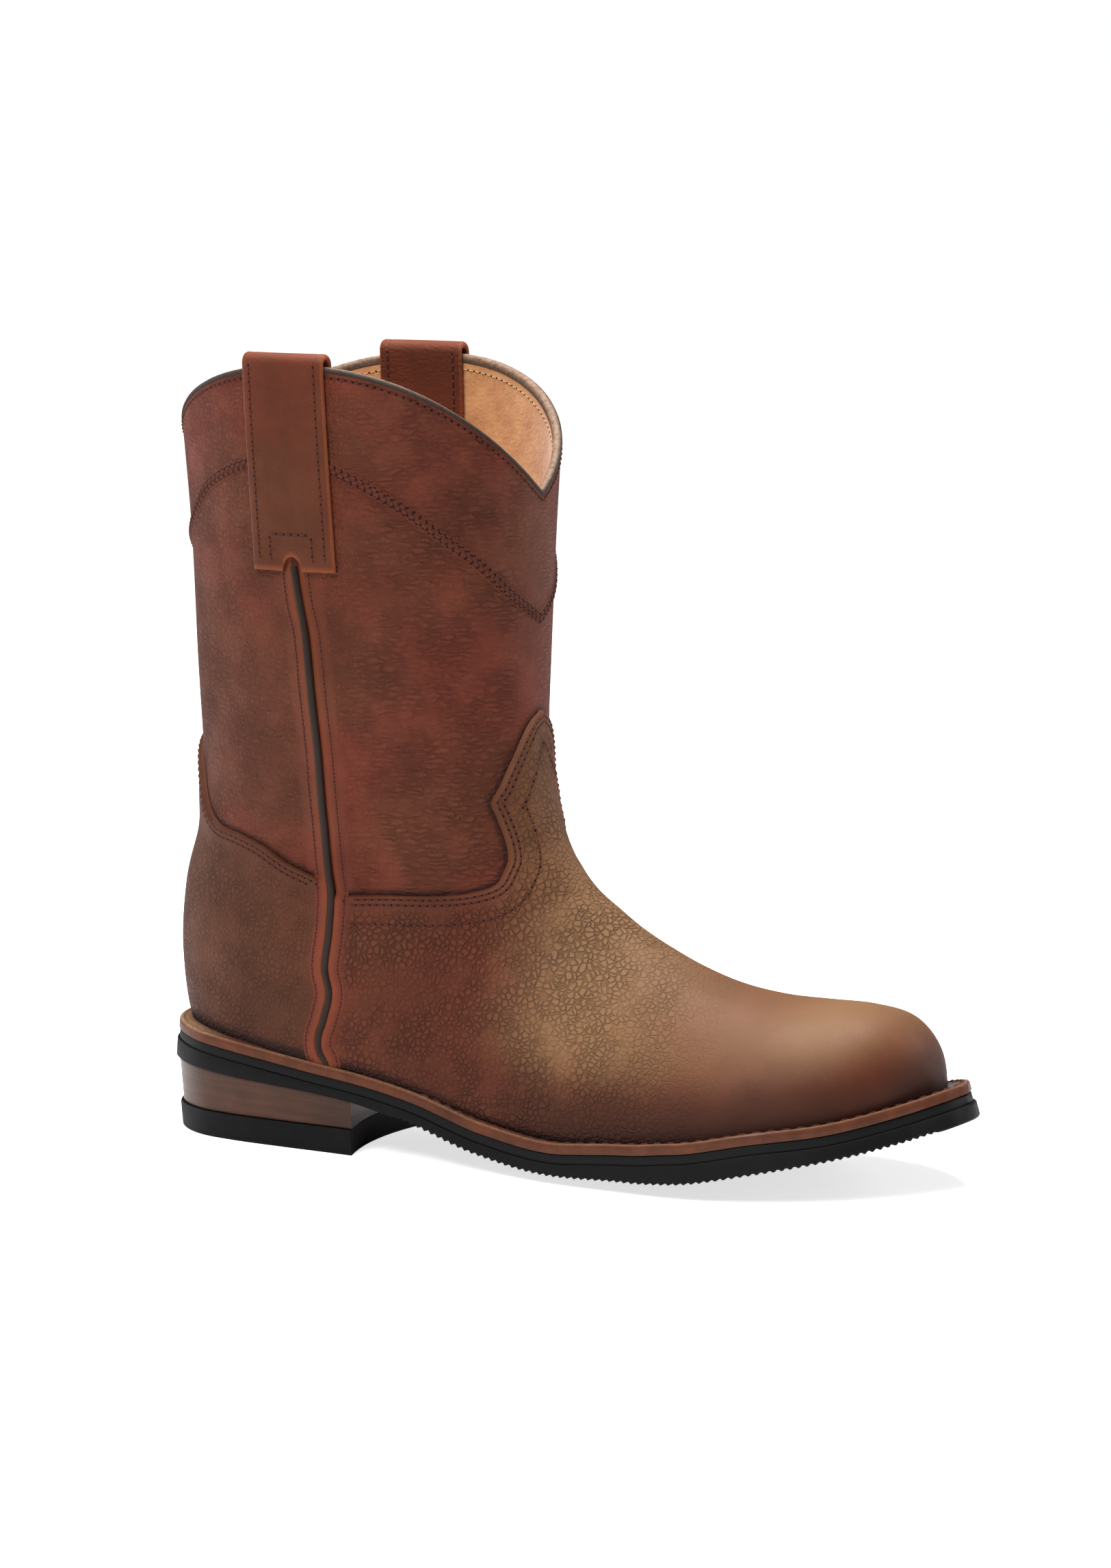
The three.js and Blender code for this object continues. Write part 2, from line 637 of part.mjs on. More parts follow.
// Rolled leather edge standing on the wall all round the collar
function collarBinding() {
  // Section of the edge, in shares of WALL and BINDING_HEIGHT
  const profile = [[0, 0], [0, 0.6], [0.22, 1], [0.78, 1], [1, 0.6], [1, 0]];
  const rings = ANGLES.map((angle, i) => {
    const outer = upperPoint(RIM_STATIONS[i], angle, 0);
    const inner = upperPoint(RIM_STATIONS[i], angle, -WALL);
    return profile.map(([across, up]) => [
      lerp(inner[0], outer[0], across),
      lerp(inner[1], outer[1], across),
      lerp(inner[2], outer[2], across) + GAP + up * BINDING_HEIGHT,
    ]);
  });
  return loft(rings, true);
}

// Heel layer between two heights, narrower towards the floor, with a hollow breast
function heelLayer(inset, lowZ, highZ) {
  const end = halve(0, 0.5, (share) => outlinePoint(share, 0)[0] < HEEL_LENGTH);
  const rings = [];
  for (let k = 0; k <= HEEL_RUNGS; k += 1) {
    const share = end * (k / HEEL_RUNGS) ** 1.5;
    const lateral = outlinePoint(share, inset);
    const medial = outlinePoint(1 - share, inset);
    const row = (level) => SOLE_COLUMNS.map((across) => {
      const side = (across + 1) / 2;
      const hollow = BREAST_HOLLOW * (1 - across * across) * (k / HEEL_RUNGS) ** 3;
      const x = lerp(lateral[0], medial[0], side) - hollow;
      const z = level(x);
      const taper = HEEL_TAPER * (1 - z / HEEL_HEIGHT);
      const y = lerp(lateral[1], medial[1], side) * (1 - taper);
      return [HEEL_LENGTH - (HEEL_LENGTH - x) * (1 - taper / 2), y, z];
    });
    rings.push([...row(lowZ), ...row(highZ).reverse()]);
  }
  return loft(rings);
}

function heelBlock() {
  return heelLayer(HEEL_INSET, () => TOP_LIFT_THICKNESS + GAP, (x) => bottomZ(x) - GAP);
}

function heelLift() {
  return heelLayer(0, () => 0, () => TOP_LIFT_THICKNESS);
}

function outsole() {
  return solePlate(0, () => 0, (x) => outsoleThickness(x) - GAP);
}

function midsole() {
  return solePlate(MIDSOLE_INSET, outsoleThickness, (x) => seatHeight(x) - GAP);
}

function welt() {
  const plate = solePlate(WELT_INSET, seatHeight, (x) => seatHeight(x) + WELT_THICKNESS);
  return plate.subtract(bootForm(OVERLAY_THICKNESS + 2 * GAP));
}

function insole() {
  const low = (x) => seatHeight(x) + GAP;
  const plate = solePlate(0, low, (x) => low(x) + INSOLE_THICKNESS);
  return plate.intersect(bootForm(-WALL - GAP, CAVITY_STATION));
}

const materials = {
  leather: { color: 0x6b3f2c, roughness: 0.55, metalness: 0 },
  toeLeather: { color: 0x6a4a30, roughness: 0.45, metalness: 0 },
  edgeLeather: { color: 0x3d302b, roughness: 0.6, metalness: 0 },
  weltLeather: { color: 0x7a4c30, roughness: 0.6, metalness: 0 },
  stackedLeather: { color: 0x5b382b, roughness: 0.5, metalness: 0 },
  rubber: { color: 0x1b1b1c, roughness: 0.8, metalness: 0 },
  board: { color: 0xb98555, roughness: 0.9, metalness: 0 },
};

const pieces = [
  ['outsole', outsole(), 'rubber'],
  ['midsole', midsole(), 'rubber'],
  ['welt', welt(), 'weltLeather'],
  ['heel_block', heelBlock(), 'stackedLeather'],
  ['heel_lift', heelLift(), 'rubber'],
  ['insole', insole(), 'board'],
  ['upper_front', panel(1), 'leather'],
  ['upper_back', panel(-1), 'leather'],
  ['vamp', overlay(VAMP_EDGE, 1), 'toeLeather'],
  ['counter', overlay(COUNTER_EDGE, -1), 'leather'],
  ['piping_outer', piping(-1), 'edgeLeather'],
  ['piping_inner', piping(1), 'edgeLeather'],
  ['pull_strap_outer', pullStrap(-1), 'leather'],
  ['pull_strap_inner', pullStrap(1), 'leather'],
  ['collar_binding', collarBinding(), 'edgeLeather'],
];

const boot = new THREE.Group();
boot.name = 'cowboy_boot';
pieces.forEach(([name, solid, material]) => {
  const { vertProperties, triVerts } = solid.getMesh();
  const geometry = new THREE.BufferGeometry();
  geometry.setAttribute('position', new THREE.Float32BufferAttribute(vertProperties, 3));
  geometry.setIndex(Array.from(triVerts));
  geometry.computeVertexNormals();
  const mesh = new THREE.Mesh(geometry, new THREE.MeshStandardMaterial(materials[material]));
  mesh.name = name;
  boot.add(mesh);
});

// The boot stands on the floor with its middle over the origin
const box = new THREE.Box3().setFromObject(boot);
boot.position.set(-(box.min.x + box.max.x) / 2, -(box.min.y + box.max.y) / 2, -box.min.z);

export default boot;
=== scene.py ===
import math

import bmesh
import bpy
import numpy as np
from mathutils import Matrix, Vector
from mathutils.geometry import delaunay_2d_cdt


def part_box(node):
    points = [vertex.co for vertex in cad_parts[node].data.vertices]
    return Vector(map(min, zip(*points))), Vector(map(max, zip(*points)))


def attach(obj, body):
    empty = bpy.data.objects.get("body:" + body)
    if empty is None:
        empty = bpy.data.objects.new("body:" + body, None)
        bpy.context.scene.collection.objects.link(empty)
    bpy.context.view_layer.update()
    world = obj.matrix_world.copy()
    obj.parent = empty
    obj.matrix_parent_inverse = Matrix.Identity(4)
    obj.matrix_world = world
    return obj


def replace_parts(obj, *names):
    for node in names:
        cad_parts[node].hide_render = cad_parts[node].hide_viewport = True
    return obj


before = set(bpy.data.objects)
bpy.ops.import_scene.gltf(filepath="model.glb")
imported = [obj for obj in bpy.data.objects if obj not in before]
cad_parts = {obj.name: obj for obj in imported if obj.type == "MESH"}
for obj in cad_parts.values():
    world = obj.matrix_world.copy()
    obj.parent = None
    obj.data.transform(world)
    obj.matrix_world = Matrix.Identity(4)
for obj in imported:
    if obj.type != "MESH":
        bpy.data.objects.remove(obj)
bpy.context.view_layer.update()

# Outsole
# One moulded piece of black rubber, thin under the arch and thick under the ball, cemented
# to the midsole. Fine saw teeth run round the forefoot's lower edge.
# Points are millimetres in the boot's own directions: the heel's back is at x 0, the floor
# at z 0, the toe points along +x and the outer side is towards -y.
sole_length = 300
ball_width = 104.5
seat_width = 76
heel_height = 25.6
toe_spring = 21
edge_rise = 4.5
outsole_thick = 6.1
midsole_thick = 3.2
toe_shift = 0.077 * ball_width
flat_share = 0.25
ball_share = 0.7
fine_steps = 3001
heel_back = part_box("outsole")[0].x

# Columns: share of the length, heel height, toe spring, thickness, edge rise
sole_profile = np.array([
    [0.00, 1.000, 0.000, 1.20, 0.00],
    [0.13, 0.900, 0.000, 0.90, 0.00],
    [0.27, 0.780, 0.000, 0.54, 0.00],
    [0.36, 0.570, 0.000, 0.67, 0.17],
    [0.46, 0.225, 0.000, 0.76, 0.33],
    [0.56, 0.020, 0.000, 0.80, 0.67],
    [0.60, 0.000, 0.000, 0.90, 0.85],
    [0.66, 0.000, 0.000, 1.05, 1.00],
    [0.72, 0.000, 0.050, 1.20, 1.00],
    [0.80, 0.000, 0.250, 1.20, 1.00],
    [0.90, 0.000, 0.555, 0.96, 1.00],
    [1.00, 0.000, 1.000, 0.96, 1.00],
])
# Columns: share of the length, outer and inner half width as shares of the heel seat
heel_outline = np.array([
    [0.010, 0.187, 0.187],
    [0.030, 0.305, 0.305],
    [0.067, 0.410, 0.410],
    [0.117, 0.460, 0.458],
    [0.183, 0.485, 0.475],
    [0.267, 0.505, 0.487],
])
# The same from the waist on, as shares of the ball's width
fore_outline = np.array([
    [0.367, 0.395, 0.358],
    [0.467, 0.430, 0.382],
    [0.567, 0.465, 0.428],
    [0.667, 0.493, 0.475],
    [0.750, 0.493, 0.505],
    [0.827, 0.440, 0.500],
    [0.893, 0.345, 0.456],
    [0.943, 0.220, 0.368],
    [0.977, 0.086, 0.268],
    [0.993, 0.016, 0.178],
])


def smooth_curve(xs, ys):
    """Curve through the points that never overshoots them."""
    slopes = np.diff(ys) / np.diff(xs)
    before = np.append(slopes[:1], slopes)
    after = np.append(slopes, slopes[-1:])
    total = np.where(before + after == 0, 1, before + after)
    tangents = np.where(before * after > 0, 2 * before * after / total, 0)

    def at(x):
        x = np.clip(x, xs[0], xs[-1])
        i = np.clip(np.searchsorted(xs, x, side="right") - 1, 0, len(xs) - 2)
        width = xs[i + 1] - xs[i]
        u = (x - xs[i]) / width
        v = 1 - u
        level = ys[i] * (1 + 2 * u) * v * v + ys[i + 1] * (1 + 2 * v) * u * u
        return level + width * u * v * (tangents[i] * v - tangents[i + 1] * u)

    return at


def ease(value, start, end):
    """Rises smoothly from 0 at start to 1 at end."""
    t = np.clip((np.asarray(value, float) - start) / (end - start), 0, 1)
    return t * t * (3 - 2 * t)


heel_share, toe_share, thick_share, edge_share = (
    smooth_curve(sole_profile[:, 0] * sole_length, column) for column in sole_profile[:, 1:].T)


def bottom_z(x):
    return heel_height * heel_share(x) + toe_spring * toe_share(x)


def outsole_top(x):
    return outsole_thick * thick_share(x)


def seat_height(x):
    return outsole_top(x) + midsole_thick


def seat_z(x):
    return bottom_z(x) + seat_height(x)


def edge_lift(x, y):
    """Rise of the forefoot's edges away from the flat strip under the ball."""
    along = x / sole_length
    middle = toe_shift * ease(along, ball_share, 0.95)
    sideways = (y - middle) / (ball_width / 2)
    ahead = np.maximum(along - ball_share, 0) / (1 - ball_share)
    away = np.maximum(np.hypot(sideways, ahead) - flat_share, 0) / (1 - flat_share)
    return edge_rise * edge_share(x) * away ** 1.5


def sole_point(x, y, height):
    """Point at a height square to the sole's curved bottom."""
    tilt = np.arctan((bottom_z(x + 1) - bottom_z(x - 1)) / 2)
    z = bottom_z(x) + edge_lift(x, y) + np.cos(tilt) * height
    return np.stack(np.broadcast_arrays(x - np.sin(tilt) * height, y, z), -1)


def outline_corners():
    rows = np.vstack([heel_outline, fore_outline])
    breadth = np.repeat([seat_width, ball_width], [len(heel_outline), len(fore_outline)])
    x = rows[:, 0] * sole_length
    outer = np.stack([x, -rows[:, 1] * breadth], -1)
    inner = np.stack([x, rows[:, 2] * breadth], -1)
    return np.vstack([[[0, 0]], outer, [[sole_length, toe_shift]], inner[::-1]])


sole_corners = outline_corners()


def unit(vectors):
    return vectors / np.linalg.norm(vectors, axis=-1)[..., None]


def run_length(points):
    return np.append(0, np.cumsum(np.linalg.norm(np.diff(points, axis=0), axis=1)))


def outline_curve(share):
    """Centripetal curve round the sole's corners, at shares of the whole way round."""
    count = len(sole_corners)
    at = (np.asarray(share, float) % 1) * count
    i = np.floor(at).astype(int)
    u = (at - i)[..., None]
    before, here, there, after = (sole_corners[(i + k) % count] for k in (-1, 0, 1, 2))
    step0, step1, step2 = (
        np.linalg.norm(end - start, axis=-1)[..., None] ** 0.5
        for start, end in ((before, here), (here, there), (there, after)))
    leave = (here - before) / step0 - (there - before) / (step0 + step1) + (there - here) / step1
    reach = (there - here) / step1 - (after - here) / (step1 + step2) + (after - there) / step2
    leave = leave * step1
    reach = reach * step1
    bend = -3 * here + 3 * there - 2 * leave - reach
    twist = 2 * here - 2 * there + leave + reach
    return here + leave * u + bend * u ** 2 + twist * u ** 3


def outline_at(share, inset=0):
    """Point of the sole's outline, moved inwards by the inset."""
    along = unit(outline_curve(share + 1e-4) - outline_curve(share - 1e-4))
    inwards = np.stack([-along[..., 1], along[..., 0]], -1)
    return outline_curve(share) + inset * inwards


def even_shares(spacing):
    """Shares from the heel's back to the toe, evenly spaced along the outer edge."""
    fine = np.linspace(0, 0.5, fine_steps)
    lengths = run_length(outline_at(fine))
    run = np.linspace(0, lengths[-1], int(lengths[-1] / spacing) + 2)
    return np.interp(run, lengths, fine), run


def placed(points):
    """Millimetres of the boot's own directions as metres of the shared frame."""
    return np.asarray(points, float) / 1000 + np.array([heel_back, 0, 0])


def grid_faces(rows, columns, closed=False, looped=False):
    """Faces of a grid of points. Closed joins its last column to the first, and looped its
    last row."""
    index = np.arange(rows * columns).reshape(rows, columns)
    if looped:
        index = np.vstack([index, index[:1]])
    if closed:
        index = np.hstack([index, index[:, :1]])
    corners = [index[:-1, :-1], index[:-1, 1:], index[1:, 1:], index[1:, :-1]]
    return np.stack(corners, -1).reshape(-1, 4)


def new_object(name, data):
    thing = bpy.data.objects.new(name, data)
    bpy.context.scene.collection.objects.link(thing)
    return thing


def make_piece(name, points, faces, material, masks=None, sharp=40):
    """Smooth mesh from millimetre points. Masks are values at its points for the material."""
    mesh = bpy.data.meshes.new(name)
    mesh.from_pydata(placed(points).tolist(), [], [list(face) for face in faces])
    for mask, values in (masks or {}).items():
        mesh.attributes.new(mask, "FLOAT", "POINT").data.foreach_set(
            "value", np.asarray(values, np.float32).ravel())
    shape = bmesh.new()
    shape.from_mesh(mesh)
    bmesh.ops.dissolve_degenerate(shape, dist=1e-7, edges=shape.edges)
    bmesh.ops.recalc_face_normals(shape, faces=shape.faces)
    shape.to_mesh(mesh)
    shape.free()
    mesh.shade_smooth()
    mesh.set_sharp_from_angle(angle=math.radians(sharp))
    mesh.materials.append(material)
    piece = new_object(name, mesh)
    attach(piece, "root")
    return piece


def sole_layer(edge, shares, across):
    """Rings across the sole. Edge rows go up its side: an inset and a height for each."""
    outer = [outline_at(shares, inset) for inset, height in edge]
    inner = [outline_at(1 - shares, inset) for inset, height in edge]
    columns = []

    def add(plan, height):
        columns.append(sole_point(plan[:, 0], plan[:, 1], height(plan[:, 0])))

    for side in across:
        add(outer[0] + (inner[0] - outer[0]) * side, edge[0][1])
    for row in range(1, len(edge) - 1):
        add(inner[row], edge[row][1])
    for side in across[::-1]:
        add(outer[-1] + (inner[-1] - outer[-1]) * side, edge[-1][1])
    for row in range(len(edge) - 2, 0, -1):
        add(outer[row], edge[row][1])
    points = np.stack(columns, 1)
    return points.reshape(-1, 3), grid_faces(len(shares), len(columns), closed=True)


def add_node(tree, kind, inputs=None, **settings):
    """Adds a shader node. Inputs are values, or outputs of other nodes to link."""
    node = tree.nodes.new("ShaderNode" + kind)
    for name, value in settings.items():
        setattr(node, name, value)
    for name, value in (inputs or {}).items():
        if isinstance(value, bpy.types.NodeSocket):
            tree.links.new(value, node.inputs[name])
        else:
            node.inputs[name].default_value = value
    return node


def noise(tree, place, scale, detail, roughness=0.5):
    return add_node(tree, "TexNoise", {
        "Vector": place, "Scale": scale, "Detail": detail, "Roughness": roughness}).outputs["Fac"]


def ramp(tree, value, start, end, low=0, high=1, smooth=False):
    """Carries the range from start to end over to the range from low to high."""
    return add_node(tree, "MapRange", {
        "Value": value, "From Min": start, "From Max": end, "To Min": low, "To Max": high},
        interpolation_type="SMOOTHSTEP" if smooth else "LINEAR").outputs["Result"]


def combined(tree, operation, first, second, kind="Math"):
    return add_node(tree, kind, {0: first, 1: second}, operation=operation).outputs[0]


def mixed(tree, share, first, second):
    """Colour that is the first where the share is 0 and the second where it is 1."""
    return add_node(tree, "Mix", {0: share, 6: first, 7: second}, data_type="RGBA").outputs[2]


def colour(red, green, blue):
    """Linear colour from the 0 to 255 values of a picture."""
    shares = [value / 255 for value in (red, green, blue)]
    return [((c + 0.055) / 1.055) ** 2.4 if c > 0.04 else c / 12.92 for c in shares] + [1]


def new_group(name, colours, amounts):
    """Empty shader group with a socket for each colour and amount, and its two ends."""
    group = bpy.data.node_groups.new(name, "ShaderNodeTree")
    group.interface.new_socket("Vector", in_out="INPUT", socket_type="NodeSocketVector")
    for kind, defaults in (("NodeSocketColor", colours), ("NodeSocketFloat", amounts)):
        for label, value in defaults.items():
            socket = group.interface.new_socket(label, in_out="INPUT", socket_type=kind)
            socket.default_value = value
    group.interface.new_socket("Color", in_out="OUTPUT", socket_type="NodeSocketColor")
    for label in ("Roughness", "Height"):
        group.interface.new_socket(label, in_out="OUTPUT", socket_type="NodeSocketFloat")
    return group, group.nodes.new("NodeGroupInput").outputs, group.nodes.new("NodeGroupOutput")


def close_group(group, result, tint, roughness, height):
    for label, value in (("Color", tint), ("Roughness", roughness), ("Height", height)):
        group.links.new(value, result.inputs[label])
    return group


def rubber_group():
    """Black rubber with fine grain and a little grey dust in it."""
    group, given, result = new_group(
        "Rubber", {"Rubber": colour(6, 6, 7), "Dust": colour(26, 25, 25)}, {"Dust Amount": 0.3})
    patches = noise(group, given["Vector"], 60, 6, 0.65)
    dusty = combined(group, "MULTIPLY", ramp(group, patches, 0.5, 0.75), given["Dust Amount"])
    return close_group(
        group, result, mixed(group, dusty, given["Rubber"], given["Dust"]),
        ramp(group, patches, 0, 1, 0.5, 0.75), noise(group, given["Vector"], 900, 3))


rubber_look = rubber_group()
rubber_grain = 0.05
shine = 0.15


def shader_material(name, group, values, bump, masks=(), settings=None):
    """Material with a group's colour, roughness and bump, whose height is in millimetres.
    Masks are the group's sockets that read the mesh's values of the same name, and settings
    the shader's own sockets."""
    material = bpy.data.materials.new(name)
    material.use_nodes = True
    tree = material.node_tree
    shader = tree.nodes["Principled BSDF"]
    given = {"Vector": add_node(tree, "TexCoord").outputs["Object"], **values}
    for mask in masks:
        given[mask] = add_node(tree, "Attribute", attribute_name=mask.lower()).outputs["Fac"]
    look = add_node(tree, "Group", given, node_tree=group).outputs
    bumped = add_node(tree, "Bump", {"Height": look["Height"], "Distance": bump / 1000})
    for socket, value in {"Specular IOR Level": shine, **(settings or {})}.items():
        shader.inputs[socket].default_value = value
    tree.links.new(look["Color"], shader.inputs["Base Color"])
    tree.links.new(look["Roughness"], shader.inputs["Roughness"])
    tree.links.new(bumped.outputs["Normal"], shader.inputs["Normal"])
    return material


joint_gap = 0.3


def outsole():
    tooth_pitch = 2.8
    tooth_depth = 1.2
    tread_start = 100
    tread_end = 296
    rim_width = 3.5
    corner = 0.5
    teeth_top = 1.8
    shares, run = even_shares(tooth_pitch / 4)
    saw = tooth_depth * (1 - np.abs(run / tooth_pitch % 1 * 2 - 1))
    x = outline_at(shares)[:, 0]
    tread = ease(x, tread_start, tread_start + 8) * (1 - ease(x, tread_end - 4, tread_end))
    saw = saw * tread
    edge = [
        (rim_width, lambda x: tooth_depth * tread),
        (corner, lambda x: saw),
        (0.0, lambda x: saw + corner),
        (0.0, lambda x: teeth_top + 0 * x),
        (0.0, lambda x: outsole_top(x) - 3 * joint_gap),
        (0.3, lambda x: outsole_top(x) - joint_gap),
    ]
    points, faces = sole_layer(edge, shares, np.linspace(0, 1, 13))
    material = shader_material("Outsole rubber", rubber_look, {}, rubber_grain)
    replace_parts(make_piece("outsole_rubber", points, faces, material), "outsole")


outsole()

# Top lift
# The black rubber layer that the heel stands on, cemented under the stack. It tapers a
# little towards the floor and its breast is hollowed like the stack's.
heel_length = 86
breast_hollow = 6
heel_taper = 0.05
lift_thick = 9.1


def heel_outline_at(inset):
    """Closed outline of the heel in plan: round the back, then across the breast."""
    breast_points = 13
    side_points = 70
    fine = np.linspace(0, 0.5, fine_steps)
    end = fine[np.argmax(outline_at(fine)[:, 0] > heel_length)]
    rungs = np.linspace(0, 1, side_points) ** 1.3
    outer = outline_at(end * rungs, inset)
    inner = outline_at(1 - end * rungs, inset)
    across = np.linspace(-1, 1, breast_points)[1:-1, None]
    breast = outer[-1] + (inner[-1] - outer[-1]) * (across + 1) / 2
    breast[:, 0] -= breast_hollow * (1 - across[:, 0] ** 2)
    return np.vstack([outer[:0:-1], inner, breast[::-1]])


def heel_layer(levels, low, high):
    """Stack of outlines: each level has an inset and a share of the way from low to high."""
    rings = []
    for inset, share in levels:
        plan = heel_outline_at(inset)
        z = low(plan[:, 0]) + (high(plan[:, 0]) - low(plan[:, 0])) * share
        narrower = heel_taper * (1 - z / heel_height)
        x = heel_length - (heel_length - plan[:, 0]) * (1 - narrower / 2)
        rings.append(np.stack([x, plan[:, 1] * (1 - narrower), z], -1))
    points = np.stack(rings)
    rows, columns = points.shape[:2]
    faces = grid_faces(rows, columns, closed=True).tolist()
    faces.append(list(range(columns))[::-1])
    faces.append(list(range((rows - 1) * columns, rows * columns)))
    return points.reshape(-1, 3), faces


def top_lift():
    # Inset and share of the height of each level
    levels = [(0.5, 0), (0.05, 0.06), (0, 0.5), (0, 0.93), (0.35, 1)]
    points, faces = heel_layer(levels, lambda x: 0 * x, lambda x: lift_thick + 0 * x)
    material = shader_material(
        "Top lift rubber", rubber_look, {"Dust Amount": 0.5}, rubber_grain)
    piece = make_piece("top_lift_rubber", points, faces, material)
    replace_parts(piece, "heel_lift")


top_lift()

# Heel block
# Brown sole leather pasted and nailed in a stack, trimmed in one go and burnished with wax,
# so the joints between its layers hardly show.


def stacked_group():
    """Waxed edge of leather in thin level layers, in two browns."""
    group, given, result = new_group(
        "Stacked leather", {"Leather": colour(78, 44, 25), "Dark": colour(54, 29, 17)},
        {"Joint": 0.0})
    layered = combined(group, "MULTIPLY", given["Vector"], (0.12, 0.12, 2.2), "VectorMath")
    streaks = noise(group, layered, 260, 5, 0.6)
    both = combined(group, "ADD", streaks, noise(group, given["Vector"], 45, 4))
    brown = mixed(group, ramp(group, both, 0.8, 1.25), given["Dark"], given["Leather"])
    return close_group(
        group, result, mixed(group, given["Joint"], brown, given["Dark"]),
        ramp(group, streaks, 0, 1, 0.3, 0.6), streaks)


def heel_block():
    lifts = 3
    stack_inset = 1.2
    joint_depth = 0.08
    joint_dark = 0.35
    levels = []
    for lift in range(lifts):
        for step, depth in ((0.0, 1), (0.06, 0.2), (0.15, 0), (0.85, 0), (0.94, 0.2)):
            levels.append((stack_inset + joint_depth * depth, (lift + step) / lifts))
    levels.append((stack_inset + joint_depth, 1))
    points, faces = heel_layer(
        levels, lambda x: lift_thick + joint_gap + 0 * x, lambda x: bottom_z(x) - joint_gap)
    joint = np.repeat(
        [joint_dark * (inset - stack_inset) / joint_depth for inset, share in levels],
        len(points) // len(levels))
    material = shader_material("Stacked heel", stacked_group(), {}, 0.12, ["Joint"],
                               {"Coat Weight": 0.25, "Coat Roughness": 0.3})
    piece = make_piece("stacked_heel", points, faces, material, {"joint": joint})
    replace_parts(piece, "heel_block")


heel_block()

# Midsole
# A thin black rubber layer between the outsole and the welt. Its edge is trimmed a little
# inside theirs, so it reads as a dark line all round.


def midsole():
    edge = [
        (0.9, lambda x: outsole_top(x) - 0.2),
        (0.8, lambda x: outsole_top(x) + 0.2),
        (0.8, lambda x: seat_height(x) - 0.6),
        (1.0, lambda x: seat_height(x) - joint_gap),
    ]
    points, faces = sole_layer(edge, even_shares(2)[0], np.linspace(0, 1, 13))
    material = shader_material(
        "Midsole rubber", rubber_look, {"Rubber": colour(14, 15, 16), "Dust Amount": 0.1},
        rubber_grain)
    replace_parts(make_piece("midsole_rubber", points, faces, material), "midsole")


midsole()

# Welt
# A strip of brown leather sewn to the upper's lower edge all round, and lockstitched to the
# sole from the waist forward through a groove in its top. Its outer edge is trimmed, dyed
# and burnished. Painted shade darkens its top under the upper and in the groove, a painted
# highlight runs along its top corner, and painted light makes its top paler round the heel.
groove_inset = 2.5
welt_stitch_start = 110


def plain_leather_group():
    """Plain dyed leather: a mottled colour, darker where shade is painted on, paler where it is
    rubbed or where a highlight is painted on.
    """
    group, given, result = new_group(
        "Plain leather",
        {"Leather": colour(120, 80, 56), "Rubbed_And_Highlight": colour(190, 150, 116),
         "Dark": colour(50, 32, 25)},
        {"Rub_And_Highlight": 0.0, "Painted_Shade": 0.0, "Mottle": 0.5})
    patches = noise(group, given["Vector"], 130, 6, 0.65)
    grain = noise(group, given["Vector"], 700, 4, 0.6)
    share = combined(group, "MULTIPLY", ramp(group, patches, 0.35, 0.7), given["Mottle"])
    mottled = mixed(group, share, given["Leather"], given["Dark"])
    # Painted shade darks the mottled colour towards the dark colour here.
    shaded = mixed(group, given["Painted_Shade"], mottled, given["Dark"])
    # Rubbed wear and painted highlights both mix in the pale colour here.
    rub_and_highlight = combined(group, "MULTIPLY", given["Rub_And_Highlight"], ramp(group, grain, 0.3, 0.62, 0.35, 1))
    return close_group(group, result, mixed(group, rub_and_highlight, shaded, given["Rubbed_And_Highlight"]),
                       ramp(group, patches, 0, 1, 0.45, 0.7), grain)


plain_look = plain_leather_group()


def read_off(at, lengths, rows):
    """Rows of a table read off at lengths along it."""
    return np.stack([np.interp(at, lengths, column) for column in rows.T], -1)


def stitches(lines, pitch, length, width, proud):
    """Threads and needle holes along lines, each a pair of points and outward normals."""
    around = 6
    hole_width = width * 1.5
    look_ahead = 0.3
    rows = np.array([-1, -0.8, -0.35, 0.35, 0.8, 1])
    girth = np.array([0.15, 0.75, 1, 1, 0.75, 0.15])
    turn = np.arange(around) * 2 * np.pi / around
    thread = np.stack([
        np.repeat(rows * length / 2, around),
        (girth[:, None] * np.cos(turn) * width / 2).ravel(),
        (girth[:, None] * np.sin(turn) * width / 2
         + (proud * (1 - rows ** 2) - width * 0.3 * rows ** 2)[:, None]).ravel(),
    ], -1)
    hole = np.stack([
        np.append(0, np.cos(turn) * hole_width / 2) + pitch / 2,
        np.append(0, np.sin(turn) * hole_width / 2),
        np.append(proud * 0.9, np.full(around, 0.02)),
    ], -1)
    template = np.vstack([thread, hole])
    first = len(thread)
    faces = grid_faces(len(rows), around, closed=True).tolist()
    faces += [[first, first + 1 + k, first + 1 + (k + 1) % around] for k in range(around)]
    all_points = []
    all_faces = []
    for points, normals in lines:
        lengths = run_length(points)
        at = np.arange(pitch / 2, lengths[-1] - pitch / 2, pitch)
        centre = read_off(at, lengths, points)
        along = unit(read_off(at + look_ahead, lengths, points) - centre)
        up = read_off(at, lengths, normals)
        up = unit(up - along * np.sum(up * along, axis=1)[:, None])
        side = np.cross(up, along)
        spots = (centre[:, None] + template[None, :, :1] * along[:, None]
                 + template[None, :, 1:2] * side[:, None] + template[None, :, 2:] * up[:, None])
        for k in range(len(at)):
            start = (len(all_points) + k) * len(template)
            all_faces += [[start + corner for corner in face] for face in faces]
        all_points += list(spots)
    # 1 on the needle holes' discs, whose near-black is painted shade
    dark = np.tile(np.repeat([0, 1], [len(thread), len(hole)]), len(all_points))
    return np.concatenate(all_points), all_faces, dark


def sew(name, lines, tint, pitch=2.6, length=1.9, width=0.66, proud=0.2):
    """One joined mesh of stitches, with painted shade in their needle holes."""
    points, faces, dark = stitches(lines, pitch, length, width, proud)
    material = shader_material(
        name, plain_look, {"Leather": tint, "Dark": colour(12, 6, 5), "Mottle": 0.2}, 0.03,
        ["Painted_Shade"])
    make_piece(name, points, faces, material, {"painted_shade": dark})


